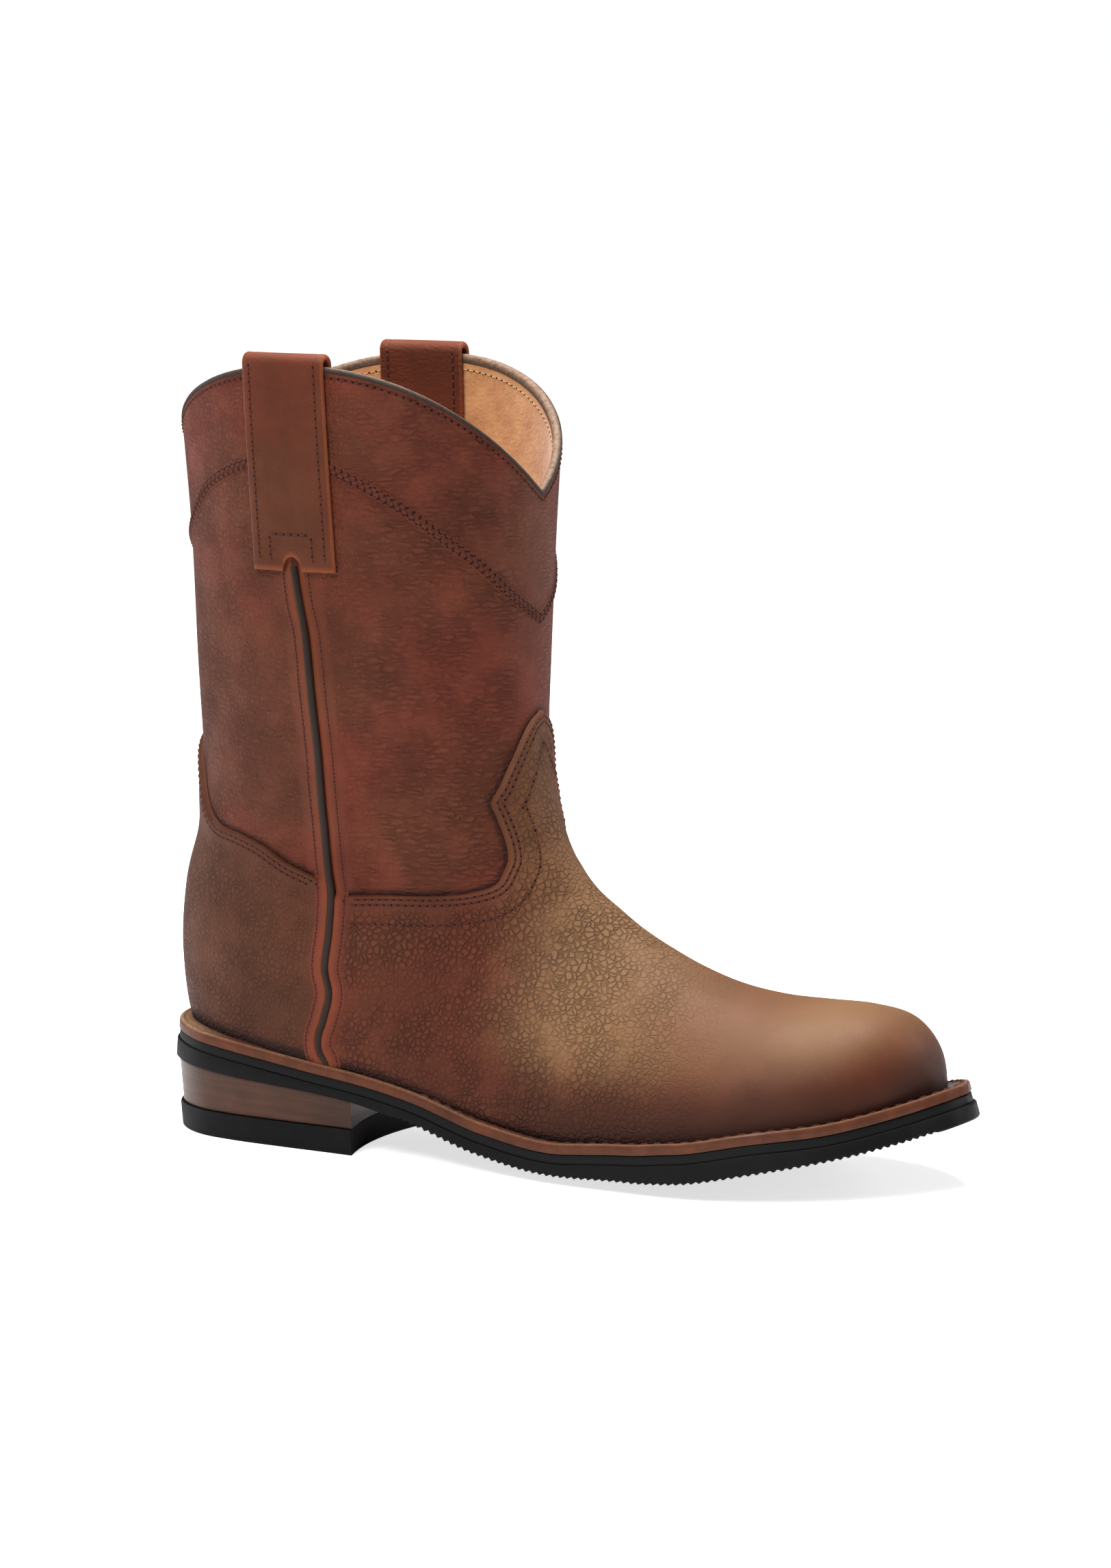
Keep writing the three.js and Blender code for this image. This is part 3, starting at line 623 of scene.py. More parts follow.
def welt():
    half_groove = 0.3
    shares = even_shares(1.2)[0]
    whole = np.append(shares, 1 - shares[-2:0:-1])
    # Inset and height over the midsole, up the edge and in over the top
    edge = np.array([
        (9.5, 0.0), (0.7, 0.0), (0.4, 0.35), (0.4, 1.9), (0.45, 3.0), (0.8, 3.55), (1.4, 3.75),
        (groove_inset - 0.7, 3.8), (groove_inset - half_groove, 3.5),
        (groove_inset + half_groove, 3.5), (groove_inset + 0.7, 3.8), (5, 3.85), (9.5, 3.9),
    ])
    inset, height = edge.T
    points = np.stack([
        sole_point(plan[:, 0], plan[:, 1], seat_height(plan[:, 0]) + rise)
        for plan, rise in ((outline_at(whole, depth), rise) for depth, rise in edge)], 1)
    heel_part = 1 - ease(points[..., 0], 12, 40)
    # Painted highlight along the welt's rounded top corner
    corner_highlight = 0.25 * ((inset > 0.6) & (inset < 1.5) & (height > 3))
    in_groove = np.abs(inset - groove_inset) < 0.5
    # Painted shade on the welt's top under the upper and in the stitch groove
    painted_shade = np.tile(np.where(inset > 4, 0.95, 0.8 * in_groove), (len(points), 1))
    material = shader_material(
        "Welt leather", plain_look,
        {"Leather": colour(90, 47, 27), "Rubbed_And_Highlight": colour(168, 130, 98),
         "Dark": colour(26, 17, 14)}, 0.12, ["Rub_And_Highlight", "Painted_Shade"], {"Coat Weight": 0.1})
    faces = grid_faces(len(points), len(edge), closed=True, looped=True)
    # The pale mask is the corner's painted highlight plus painted light over the top round the
    # heel
    piece = make_piece(
        "welt_leather", points.reshape(-1, 3), faces, material,
        {"rub_and_highlight": corner_highlight + 0.6 * heel_part * (inset > 0.6), "painted_shade": painted_shade})
    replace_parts(piece, "welt")
    sewn = whole[outline_at(whole)[:, 0] > welt_stitch_start]
    plan = outline_at(sewn, groove_inset)
    line = sole_point(plan[:, 0], plan[:, 1], seat_height(plan[:, 0]) + 3.55)
    ups = np.repeat([[0, 0, 1]], len(line), axis=0)
    sew("welt_lockstitch", [(line, ups)], colour(66, 36, 25),
        pitch=5, length=4.4, width=1.1, proud=0.3)


welt()

# Insole
# The board of vegetable-tanned leather that closes the upper's bottom. It is a flat plate,
# so the solid itself is shown, in pale unfinished leather.


def insole():
    material = shader_material(
        "Insole leather", plain_look,
        {"Leather": colour(190, 140, 92), "Dark": colour(140, 96, 60), "Mottle": 0.4}, 0.1)
    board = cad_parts["insole"]
    board.data.materials.clear()
    board.data.materials.append(material)


insole()

# Lining
# Tan suede that covers the whole inside of the upper, glued to the leather and sewn to it
# just under the collar. Its nap is mottled, and painted shade darkens it towards the back and
# deep down towards the foot.
wall = 2.6
shaft_depth = 138
shaft_height = 238
shaft_width = 104.5
instep_height = 85
overlay_tuck = 1.5
binding_height = 2.4
front_dip = 43
back_dip = 35
scallop = 1.9
level_station = 3
# Stations over which the upper draws in for its overlays, and the toe's wall turns level
tuck_stations = (3.5, 8)
nose_stations = (14, 18)
crease_depth = 1

# Columns: back, its rise, front, its rise, half width, widest place, back and front curve
shaft_sections = np.array([
    [0.023, 1.110, 1.033, 1.110, 0.500, 0.50, 2.2, 2.20],
    [0.036, 0.950, 1.031, 0.950, 0.500, 0.50, 2.2, 2.20],
    [0.066, 0.752, 1.015, 0.752, 0.481, 0.50, 2.2, 2.20],
    [0.080, 0.563, 1.011, 0.569, 0.456, 0.49, 2.2, 2.10],
    [0.086, 0.428, 1.017, 0.444, 0.413, 0.48, 2.2, 2.00],
    [0.075, 0.319, 1.044, 0.361, 0.370, 0.45, 2.2, 1.95],
    [0.030, 0.210, 1.093, 0.295, 0.346, 0.42, 2.2, 1.90],
])
# Columns: back, its rise, front, its rise, shift, outer and inner half width, widest place,
# back and front curve
heel_sections = np.array([
    [0.007, 0.307, 0.534, 1.007, 0, 0.462, 0.457, 0.40, 2.2, 1.9],
    [0.023, 0.007, 0.568, 0.931, 0, 0.454, 0.443, 0.38, 2.3, 1.9],
    [0.076, -0.200, 0.598, 0.858, 0, 0.465, 0.446, 0.36, 2.5, 1.9],
    [0.208, -0.185, 0.634, 0.783, 0, 0.487, 0.454, 0.34, 2.5, 1.9],
])
fore_sections = np.array([
    [0.373, -0.175, 0.674, 0.708, 0.000, 0.386, 0.350, 0.32, 2.7, 1.95],
    [0.537, -0.120, 0.718, 0.632, 0.008, 0.428, 0.398, 0.32, 2.8, 2.00],
    [0.669, -0.193, 0.766, 0.573, 0.021, 0.453, 0.431, 0.33, 2.8, 2.10],
    [0.760, -0.257, 0.817, 0.531, 0.036, 0.445, 0.414, 0.34, 2.8, 2.15],
    [0.826, -0.282, 0.867, 0.500, 0.057, 0.408, 0.373, 0.36, 2.7, 2.20],
    [0.872, -0.247, 0.912, 0.432, 0.069, 0.339, 0.320, 0.38, 2.6, 2.20],
    [0.908, -0.216, 0.943, 0.294, 0.077, 0.237, 0.228, 0.40, 2.5, 2.20],
    [0.928, -0.176, 0.960, 0.124, 0.077, 0.102, 0.102, 0.42, 2.4, 2.20],
    [0.934, -0.125, 0.962, 0.037, 0.077, 0.026, 0.026, 0.45, 2.2, 2.20],
])


def upper_rows():
    """The sections of the upper in millimetres, from the collar down to the toe."""
    shaft = np.zeros((len(shaft_sections), 10))
    shaft[:, 0] = shaft_sections[:, 0] * shaft_depth
    shaft[:, 1] = seat_z(0) + shaft_sections[:, 1] * shaft_height
    shaft[:, 2] = shaft_sections[:, 2] * shaft_depth
    shaft[:, 3] = seat_z(0) + shaft_sections[:, 3] * shaft_height
    shaft[:, 5] = shaft_sections[:, 4] * shaft_width
    shaft[:, 6] = shaft_sections[:, 4] * shaft_width
    shaft[:, 7:] = shaft_sections[:, 5:]
    feet = []
    for sections, breadth in ((heel_sections, seat_width), (fore_sections, ball_width)):
        foot = sections.copy()
        for column in (0, 2):
            foot[:, column] = sections[:, column] * sole_length
            foot[:, column + 1] = (seat_z(foot[:, column])
                                   + sections[:, column + 1] * instep_height)
        foot[:, 4:7] = sections[:, 4:7] * breadth
        feet.append(foot)
    return np.vstack([shaft] + feet)


section_rows = upper_rows()
toe_station = len(section_rows) - 1
# Creases of the outer leather. Columns: station and angle of one end and of the other, half
# width in degrees, of about a millimetre each, and height in millimetres, below zero for a
# trough
creases = np.array([
    [3.9, 172, 5.4, 164, 2.2, 0.45],
    [4.0, 176, 5.8, 173, 2.4, -0.35],
    [4.6, 163, 6.1, 157, 3.0, 0.4],
    [5.7, 160, 6.4, 128, 5.0, -0.6],
    [6.4, 162, 6.9, 138, 5.5, 0.45],
    [7.0, 160, 7.5, 144, 5.0, -0.5],
    [5.1, 10, 5.5, 68, 8.0, -0.8],
    [3.1, 62, 4.1, 34, 9.0, -0.6],
    [2.3, 112, 3.4, 146, 9.0, -0.7],
    [4.3, 112, 5.0, 134, 9.0, -0.6],
    [7.3, 52, 8.0, 72, 7.0, -0.5],
])
station_turn = 26


def crease_rise(station, angle):
    """Height of the listed creases. A station counts as far as 26 degrees."""
    place = np.stack([station * station_turn, np.abs((angle + 180) % 360 - 180)], -1)
    rise = np.zeros(np.shape(station))
    for start_row, start_turn, end_row, end_turn, width, height in creases:
        start = np.array([start_row * station_turn, start_turn])
        span = np.array([end_row * station_turn, end_turn]) - start
        along = np.clip(np.sum((place - start) * span, axis=-1) / np.sum(span * span), 0, 1)
        squared = np.sum((place - start - along[..., None] * span) ** 2, axis=-1)
        rise += height * np.exp(-squared / width ** 2)
    return rise


def blend(rows, at):
    """Smooth curve through rows of numbers, at a place counted in rows."""
    padded = np.vstack([2 * rows[0] - rows[1], rows, 2 * rows[-1] - rows[-2]])
    at = np.clip(at, 0, len(rows) - 1)
    i = np.minimum(at.astype(int), len(rows) - 2)
    u = (at - i)[..., None]
    p0, p1, p2, p3 = padded[i], padded[i + 1], padded[i + 2], padded[i + 3]
    bend = (2 * p0 - 5 * p1 + 4 * p2 - p3) * u ** 2 + (3 * p1 - p0 - 3 * p2 + p3) * u ** 3
    return (2 * p1 + (p2 - p0) * u + bend) / 2


def boot_point(station, angle, offset=0.0):
    """Point of the upper. Station counts sections down from the collar, and angle turns
    from the back (0) over the outer side (90) to the front (180)."""
    station, angle, offset = np.broadcast_arrays(
        np.asarray(station, float), np.asarray(angle, float), np.asarray(offset, float))
    (back_x, back_z, front_x, front_z, shift, outer, inner, widest, back_curve,
     front_curve) = np.moveaxis(blend(section_rows, station), -1, 0)
    out = offset - overlay_tuck * ease(station, *tuck_stations)
    out = out + np.where(offset > -crease_depth, crease_rise(station, angle), 0)
    length = np.hypot(front_x - back_x, front_z - back_z)
    along_x = (front_x - back_x) / length
    along_z = (front_z - back_z) / length
    turn = np.radians(angle)
    to_back = np.cos(turn) > 0
    power = 2 / np.where(to_back, back_curve, front_curve)
    forward = np.abs(np.cos(turn)) ** power
    sideways = np.abs(np.sin(turn)) ** power
    arm = np.where(to_back, -(widest * length + out), (1 - widest) * length + out)
    place = widest * length + arm * forward
    half = np.where(np.sin(turn) > 0, outer, inner) + out
    nose = out * ease(station, *nose_stations)
    return np.stack([
        back_x + along_x * place + along_z * nose,
        shift - np.sign(np.sin(turn)) * half * sideways,
        back_z + along_z * place - along_x * nose,
    ], -1)


def surface(station, angle, offset=0.0):
    """Point, its changes with station and with angle, and the outward normal."""
    point = boot_point(station, angle, offset)
    down = (boot_point(station + 0.01, angle, offset)
            - boot_point(station - 0.01, angle, offset)) / 0.02
    turning = (boot_point(station, angle + 0.2, offset)
               - boot_point(station, angle - 0.2, offset)) / 0.4
    normal = np.cross(down, turning)
    normal = normal / np.maximum(np.linalg.norm(normal, axis=-1), 1e-9)[..., None]
    outwards = boot_point(station, angle, offset + 1) - point
    facing = np.sign(np.sum(normal * outwards, axis=-1))
    return point, down, turning, normal * np.where(facing == 0, 1, facing)[..., None]


collar_peak = seat_z(0) + shaft_height


def collar_z(angle):
    """Height of the scalloped collar at an angle round the shaft."""
    turn = np.abs((np.asarray(angle, float) + 180) % 360 - 180)
    from_side = np.abs(turn - 90) / 90
    dip = np.where(turn > 90, front_dip, back_dip)
    return collar_peak - dip * (1 - np.cos(scallop * from_side)) / (1 - math.cos(scallop))


def bisect(low, high, holds):
    """Largest values between two limits for which a test that is true at low still holds."""
    low = np.array(low, float)
    high = np.array(high, float)
    for step in range(28):
        middle = (low + high) / 2
        true = holds(middle)
        low = np.where(true, middle, low)
        high = np.where(true, high, middle)
    return low


def rim_station(angle):
    """Station of the wall's top edge, just under the rolled edge."""
    angle = np.asarray(angle, float)
    rim = collar_z(angle) - binding_height - joint_gap
    return bisect(0 * angle, 0 * angle + level_station,
                  lambda station: boot_point(station, angle)[..., 2] > rim)


def even_angles(count):
    """Angles spaced evenly along a section near the top of the shaft."""
    fine = np.linspace(0, 360, 1441)
    lengths = run_length(boot_point(2.5, fine))
    return np.interp(np.arange(count) * lengths[-1] / count, lengths, fine)


def shaft_grid(angles, rows, last_station, foot_step):
    """Stations and angles of a mesh from the rim down."""
    rim = rim_station(angles)
    share = np.linspace(0, 1, rows)[:, None]
    shaft = rim + (level_station - rim) * share
    foot = np.arange(level_station + foot_step, last_station + foot_step / 2, foot_step)
    stations = np.vstack([shaft, np.repeat(foot[:, None], len(angles), axis=1)])
    return stations, np.repeat(angles[None], len(stations), axis=0)


def on_upper(line, offset=0.0):
    """Points of the upper for rows of station and angle."""
    return boot_point(line[:, 0], line[:, 1], offset)


def sewing_line(line, offset):
    point, down, turning, normal = surface(line[:, 0], line[:, 1], offset)
    return point, normal


def lining():
    lip_depth = 1.2
    stitch_drop = 3.2 / 45
    angles = even_angles(150)
    stations, turns = shaft_grid(angles, 40, toe_station - 1, 0.12)
    inner = boot_point(stations, turns, -wall)
    inner[..., 2] = np.maximum(inner[..., 2], seat_z(inner[..., 0]) + 0.2)
    lip = boot_point(stations[:1], turns[:1], -lip_depth)
    lip[..., 2] += lip_depth
    points = np.vstack([lip, inner])
    faces = grid_faces(len(points), len(angles), closed=True)
    # Painted shade: darker towards the back and deep down towards the foot
    painted_shade = (0.25 * (1 - ease(points[..., 0], 20, 70))
            + 0.5 * (1 - ease(points[..., 2], 100, 220)))
    material = shader_material(
        "Suede lining", plain_look,
        {"Leather": colour(206, 150, 98), "Dark": colour(150, 84, 52), "Mottle": 0.55,
         "Rubbed_And_Highlight": colour(226, 190, 150)}, 0.35, ["Painted_Shade"],
        {"Sheen Weight": 0.4, "Sheen Roughness": 0.5, "Specular IOR Level": 0.2})
    piece = make_piece("suede_lining", points.reshape(-1, 3), faces, material,
                       {"painted_shade": painted_shade}, sharp=80)
    sides = np.linspace(0, 360, 721)
    point, normal = sewing_line(np.stack([rim_station(sides) + stitch_drop, sides], -1), -wall)
    sew("lining_stitches", [(point, -normal)], colour(196, 160, 120),
        length=2.1, width=0.55)
    return piece


suede = lining()

# Upper leather
# Front and back panels of oiled brown leather, pebbled all over, with short level wrinkles
# in the grain that are strongest up the front. They meet in a seam up each side, under the
# piping, and run down inside the vamp and the counter.
seam_line = np.array([
    [2.2, 88], [2.8, 91], [3.6, 92.5], [4.8, 94.5], [5.8, 98], [6.3, 99], [7, 97.5],
    [7.6, 95], [8.3, 93], [9.35, 81], [9.55, 70],
])
yoke_front = np.array([
    [1.42, 94], [1.5, 99], [1.58, 106], [1.68, 114], [1.8, 123], [1.98, 134.5], [2.17, 147.5],
    [2.42, 163], [2.62, 180],
])
yoke_back = np.array([
    [1.44, 82], [1.49, 72], [1.58, 61], [1.68, 52], [1.86, 41], [2.1, 22], [2.3, 0],
])
# Upper edges of the vamp and of the counter, which lie over the shaft
vamp_edge = np.array([
    [3.5, 180], [3.68, 170], [4.15, 159], [4.5, 153], [4.8, 148], [5.1, 149], [5.5, 150],
    [5.9, 149.5], [6.2, 146], [6.5, 141], [6.6, 133], [6.55, 124], [6.4, 112], [6.3, 99.5],
])
counter_edge = np.array([
    [3.8, 0], [3.95, 14], [4.2, 25], [4.45, 31.5], [4.7, 36], [4.95, 43], [5.1, 51],
    [5.2, 62], [5.4, 75], [5.7, 86], [6, 96.5],
])


def leather_group():
    """Oiled leather, dark in the hollows of its grain. Its masks say how deep the pebbles
    and level wrinkles are, where it is oiled, where painted shade darkens it and where it is
    rubbed; the oil and rub masks also carry painted highlights."""
    group, given, result = new_group(
        "Oiled leather",
        {"Leather": colour(106, 46, 30), "Olive": colour(88, 50, 29), "Deep": colour(34, 13, 8),
         "Oiled": colour(130, 98, 66), "Rubbed_And_Highlight": colour(138, 72, 40)},
        {"Pebble": 1.0, "Wrinkle": 0.0, "Oil_And_Highlight": 0.0, "Painted_Shade": 0.0, "Rub_And_Highlight": 0.0, "Cell": 520.0})
    place = given["Vector"]
    shake = add_node(group, "TexNoise", {"Vector": place, "Scale": 220, "Detail": 3})
    drift = combined(group, "MULTIPLY", shake.outputs["Color"], (0.0024, 0.0024, 0.0024),
                     "VectorMath")
    moved = combined(group, "ADD", place, drift, "VectorMath")
    level = combined(group, "MULTIPLY", moved, (0.5, 0.5, 1.7), "VectorMath")
    depth = ramp(group, noise(group, place, 70, 3), 0.34, 0.6, 0.45, 1, smooth=True)

    def cells(vector, scale, groove, share):
        """Rounded cells, 0 in the grooves between them, and 1 all over where share is 0."""
        texture = add_node(group, "TexVoronoi", {"Vector": vector, "Scale": scale},
                           feature="DISTANCE_TO_EDGE")
        crown = ramp(group, texture.outputs["Distance"], 0, groove, smooth=True)
        amount = combined(group, "MULTIPLY", depth, share)
        return add_node(group, "Mix", {0: amount, 2: 1.0, 3: crown}).outputs[0]

    grain = combined(group, "MULTIPLY", cells(moved, given["Cell"], 0.2, given["Pebble"]),
                     cells(level, 340, 0.3, given["Wrinkle"]))
    fine = combined(group, "MULTIPLY", noise(group, place, 1500, 3, 0.6), 0.16)
    patches = noise(group, place, 42, 6, 0.62)
    cloud = ramp(group, noise(group, place, 17, 3), 0.42, 0.62, 0, 0.6, smooth=True)
    browned = mixed(group, cloud, given["Leather"], given["Olive"])
    base = mixed(group, ramp(group, patches, 0.3, 0.7, 0, 0.45), browned, given["Deep"])
    # Olive tan where the leather is oiled; on the vamp's toe this mask also carries a painted
    # highlight.
    oiled = mixed(group, given["Oil_And_Highlight"], base, given["Oiled"])
    grained = mixed(group, ramp(group, grain, 0, 0.7, 0.34, 0), oiled, given["Deep"])
    # Painted shade darkens the colour towards the deep brown here.
    shaded = mixed(group, given["Painted_Shade"], grained, given["Deep"])
    rough = combined(group, "ADD", ramp(group, grain, 0, 1, 0.8, 0.58),
                     ramp(group, patches, 0.3, 0.7, -0.06, 0.1))
    # Rubbed wear and painted highlights both mix in the pale colour here.
    return close_group(group, result, mixed(group, given["Rub_And_Highlight"], shaded, given["Rubbed_And_Highlight"]),
                       rough, combined(group, "ADD", grain, fine))


leather_look = leather_group()


def leather_material(name, values, masks, bump=0.8, coat=0.04, coat_roughness=0.4):
    return shader_material(name, leather_look, values, bump, masks,
                           {"Coat Weight": coat, "Coat Roughness": coat_roughness})


def along_table(table, spacing, mirror=False):
    """Even steps along a smooth line through (station, angle) rows. Mirror puts it on the
    inner side."""
    fine = blend(table, np.linspace(0, len(table) - 1, 40 * len(table)))
    if mirror:
        fine[:, 1] = 360 - fine[:, 1]
    lengths = run_length(on_upper(fine))
    return read_off(np.linspace(0, lengths[-1], int(lengths[-1] / spacing) + 2), lengths, fine)


def beside(line, distance):
    """The line moved sideways on the surface, to its right as seen from outside."""
    steps = max(1, math.ceil(abs(distance)))
    for step in range(steps):
        point, down, turning, normal = surface(line[:, 0], line[:, 1])
        sideways = np.cross(unit(np.gradient(point, axis=0)), normal) * distance / steps
        a = np.sum(down * down, axis=1)
        b = np.sum(down * turning, axis=1)
        c = np.sum(turning * turning, axis=1)
        p = np.sum(down * sideways, axis=1)
        q = np.sum(turning * sideways, axis=1)
        whole = a * c - b * b
        line = line + np.stack([(c * p - b * q) / whole, (a * q - b * p) / whole], -1)
    return line


def away_from(points, line):
    """Distance of each point from a line of (station, angle) rows, at most 40 mm."""
    reach = 40.0
    batch = 4000
    marks = on_upper(line)
    result = np.full(len(points), reach)
    for start in range(0, len(points), batch):
        part = points[start:start + batch]
        gaps = np.linalg.norm(part[:, None] - marks[None], axis=2).min(axis=1)
        result[start:start + batch] = np.minimum(gaps, reach)
    return result


def both_sides(table, spacing=1.5):
    return np.vstack([along_table(table, spacing), along_table(table, spacing, mirror=True)])


def sewing_rows(edge, distances, middle, reach):
    """Lines for rows of stitches beside an overlay's edge, as far as the side seams' bands
    and without the loops at its corners."""
    stitch_height = 1.75
    band_clearance = 6.4
    rows = []
    for distance in distances:
        row = beside(edge, distance)
        point, normal = sewing_line(row, stitch_height)
        flat = on_upper(row)
        good = away_from(flat, edge) > distance * 0.85
        good &= away_from(flat, both_sides(seam_line)) > band_clearance
        good &= np.abs(row[:, 1] - middle) < reach
        point = point[good]
        normal = normal[good]
        breaks = np.flatnonzero(np.linalg.norm(np.diff(point, axis=0), axis=1) > 6) + 1
        rows += [(p, n) for p, n in zip(np.split(point, breaks), np.split(normal, breaks))
                 if len(p) > 4]
    return rows


def upper_leather():
    angles = even_angles(300)
    stations, turns = shaft_grid(angles, 100, 7.3, 0.055)
    points = boot_point(stations, turns)
    flat = points.reshape(-1, 3)
    turn = np.abs((turns + 180) % 360 - 180).ravel()
    seam_gap = away_from(flat, both_sides(seam_line))
    clear = ease(seam_gap, 6, 10)
    front = ease(turn, 95, 118)
    silhouette = ease(turn, 160, 172)
    pebble = clear * (0.5 - 0.25 * front) * (1 - 0.7 * silhouette)
    wrinkle = clear * (0.6 + 0.35 * front) * (1 - 0.7 * silhouette)
    edge_gap = np.minimum(away_from(flat, both_sides(vamp_edge)),
                          away_from(flat, both_sides(counter_edge)))
    lip = boot_point(stations[:1], turns[:1], np.array([[-1.4], [-0.3], [0.0]]))
    lip[..., 2] += np.array([[1.4], [1.4], [1.1]])
    points = np.concatenate([lip, points])
    pad = 3 * len(angles)
    faces = grid_faces(len(points), len(angles), closed=True)
    masks = {
        "pebble": np.append(np.zeros(pad), pebble),
        "wrinkle": np.append(np.zeros(pad), wrinkle),
        # Painted shadow on the shaft along the vamp's and counter's edges
        "painted_shade": np.append(np.zeros(pad), 0.85 * (1 - ease(edge_gap, 0.6, 2.6))),
    }
    material = leather_material("Shaft leather", {}, ["Pebble", "Wrinkle", "Painted_Shade"])
    return make_piece("shaft_leather", points.reshape(-1, 3), faces, material, masks)


shaft = upper_leather()
for outer_piece in (suede, shaft):
    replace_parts(outer_piece, "upper_front", "upper_back")

# Counter and vamp
# Leather cut to a curved edge, folded under, skived and sewn on over the shaft with two
# rows of thread, and a third further in on the vamp. The counter wraps the heel. The vamp
# covers the foot, with a tongue up the instep. Its leather is oiled to an olive tan over the
# instep and at the toe, with a painted highlight over the toe's top. Painted shade darkens
# both pieces along the welt and low down, and the vamp also at the toe's tip. Their folded
# edges are paler, partly from wear and partly as a painted highlight.
piping_width = 2.6
thread = colour(84, 38, 26)
overlay_height = 1.8
# Distance in from the edge, and height over the upper, of a folded edge and its stitches
folded_edge = [(0.0, -0.1), (0.12, 0.9), (0.4, 1.55), (0.85, 1.85), (1.5, 1.72), (2.4, 1.85),
               (3.4, 1.72), (4.4, 1.82)]


def mirrored(line, whole=360):
    """The line on the inner side, with angles up to 360, or below zero where whole is 0."""
    return np.stack([line[:, 0], whole - line[:, 1]], -1)


def seat_angle(stations):
    """Angle at which the surface comes down to the sole, for each station."""
    fine = np.linspace(0, 180, 721)
    points = boot_point(stations[:, None], fine[None])
    low = points[..., 2] < seat_z(points[..., 0]) + 0.3
    last = len(fine) - 1 - np.argmax(low[:, ::-1], axis=1)
    return np.where(low.any(axis=1), fine[last], 0)


def inside_outline(points, outline):
    """Which points lie inside a closed outline, both in the plane."""
    result = np.zeros(len(points), bool)
    before = np.roll(outline, 1, axis=0)
    for (x0, y0), (x1, y1) in zip(before, outline):
        if y0 == y1:
            continue
        crosses = (y0 > points[:, 1]) != (y1 > points[:, 1])
        at = x0 + (points[:, 1] - y0) * (x1 - x0) / (y1 - y0)
        result ^= crosses & (points[:, 0] < at)
    return result


def overlay(edge, lower, grid):
    """Fills an overlay between its visible edge and its hidden lower line. It lies on the
    right hand of the edge. Returns points, faces and distances from the edge."""
    clearance = 0.8
    outline = np.vstack([edge, lower])
    spots = [outline]
    heights = [np.repeat([folded_edge[0][1], overlay_height], [len(edge), len(lower)])]
    for distance, height in folded_edge[1:]:
        row = beside(edge, distance)
        keep = away_from(on_upper(row), edge) > distance * 0.93
        keep &= inside_outline(row, outline)
        spots.append(row[keep])
        heights.append(np.full(keep.sum(), height))
    far = away_from(on_upper(grid), edge) > folded_edge[-1][0] + clearance
    far &= inside_outline(grid, outline)
    far &= away_from(on_upper(grid), lower) > clearance
    spots = np.vstack(spots + [grid[far]])
    heights = np.concatenate(heights + [np.full(far.sum(), overlay_height)])
    flatten = np.array([15, 1])
    filled = delaunay_2d_cdt(
        [tuple(spot) for spot in spots * flatten], [], [list(range(len(outline)))], 1, 1e-6)
    verts, faces, first = filled[0], filled[2], filled[3]
    where = np.array([v[:] for v in verts]) / flatten
    height = np.array([heights[ids[0]] if ids else overlay_height for ids in first])
    points = on_upper(where, height)
    return points, [list(face) for face in faces], away_from(points, edge)


def overlay_grid(first, last, low_angle, high_angle, spacing=1.7):
    """Even points of the surface between two stations and two angles."""
    spots = []
    station = first
    while station <= last:
        fine = np.linspace(low_angle, high_angle, 1201)
        points = boot_point(station, fine)
        lengths = run_length(points)
        run = np.arange(spacing * 0.5, lengths[-1], spacing)
        spots.append(np.stack([np.full(len(run), station), np.interp(run, lengths, fine)], -1))
        fan = boot_point(station + 0.1, fine[::40]) - boot_point(station, fine[::40])
        station += 0.1 * spacing / max(np.linalg.norm(fan, axis=1).max() * 0.8, 0.2)
    return np.vstack(spots)


def seam_side(start, ahead):
    """Line beside the outer seam from a station down to the sole."""
    line = beside(along_table(seam_line, 1.2), ahead)
    return line[line[:, 0] > start]


def counter():
    side = seam_side(6.02, piping_width / 2 + joint_gap)
    top = along_table(counter_edge, 1.1)
    top = top[top[:, 1] < side[0, 1] - 0.5]
    half = np.vstack([top, side])
    edge = np.vstack([mirrored(half, 0)[::-1], half[1:]])
    low = np.arange(8.1, side[-1, 0], 0.05)
    foot = np.stack([low, seat_angle(low)], -1)
    foot = foot[foot[:, 1] < side[-1, 1] - 1]
    lower = np.vstack([foot[::-1], [[8.02, 0]], mirrored(foot, 0)])
    points, faces, edge_gap = overlay(edge, lower, overlay_grid(3.7, 9.8, -100, 100))
    z = points[:, 2]
    masks = {
        "pebble": 0.55 * ease(edge_gap, 3, 8),
        # Painted shade along the welt and low on the heel
        "painted_shade": np.clip(0.9 * (1 - ease(z - seat_z(points[:, 0]), 5, 9))
                        + 0.2 * (1 - ease(z, 40, 70)), 0, 1),
        # Pale folded edge: partly wear, partly painted highlight
        "rub_and_highlight": 0.2 * (1 - ease(edge_gap, 0.2, 0.8)),
    }
    material = leather_material("Counter leather", {"Leather": colour(87, 45, 25)},
                                ["Pebble", "Painted_Shade", "Rub_And_Highlight"])
    piece = make_piece("counter_leather", points, faces, material, masks)
    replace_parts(piece, "counter")
    seen = np.vstack([mirrored(top, 0)[::-1], top[1:]])
    sew("counter_stitches", sewing_rows(seen, (1.6, 3.4), 0, 95), thread)


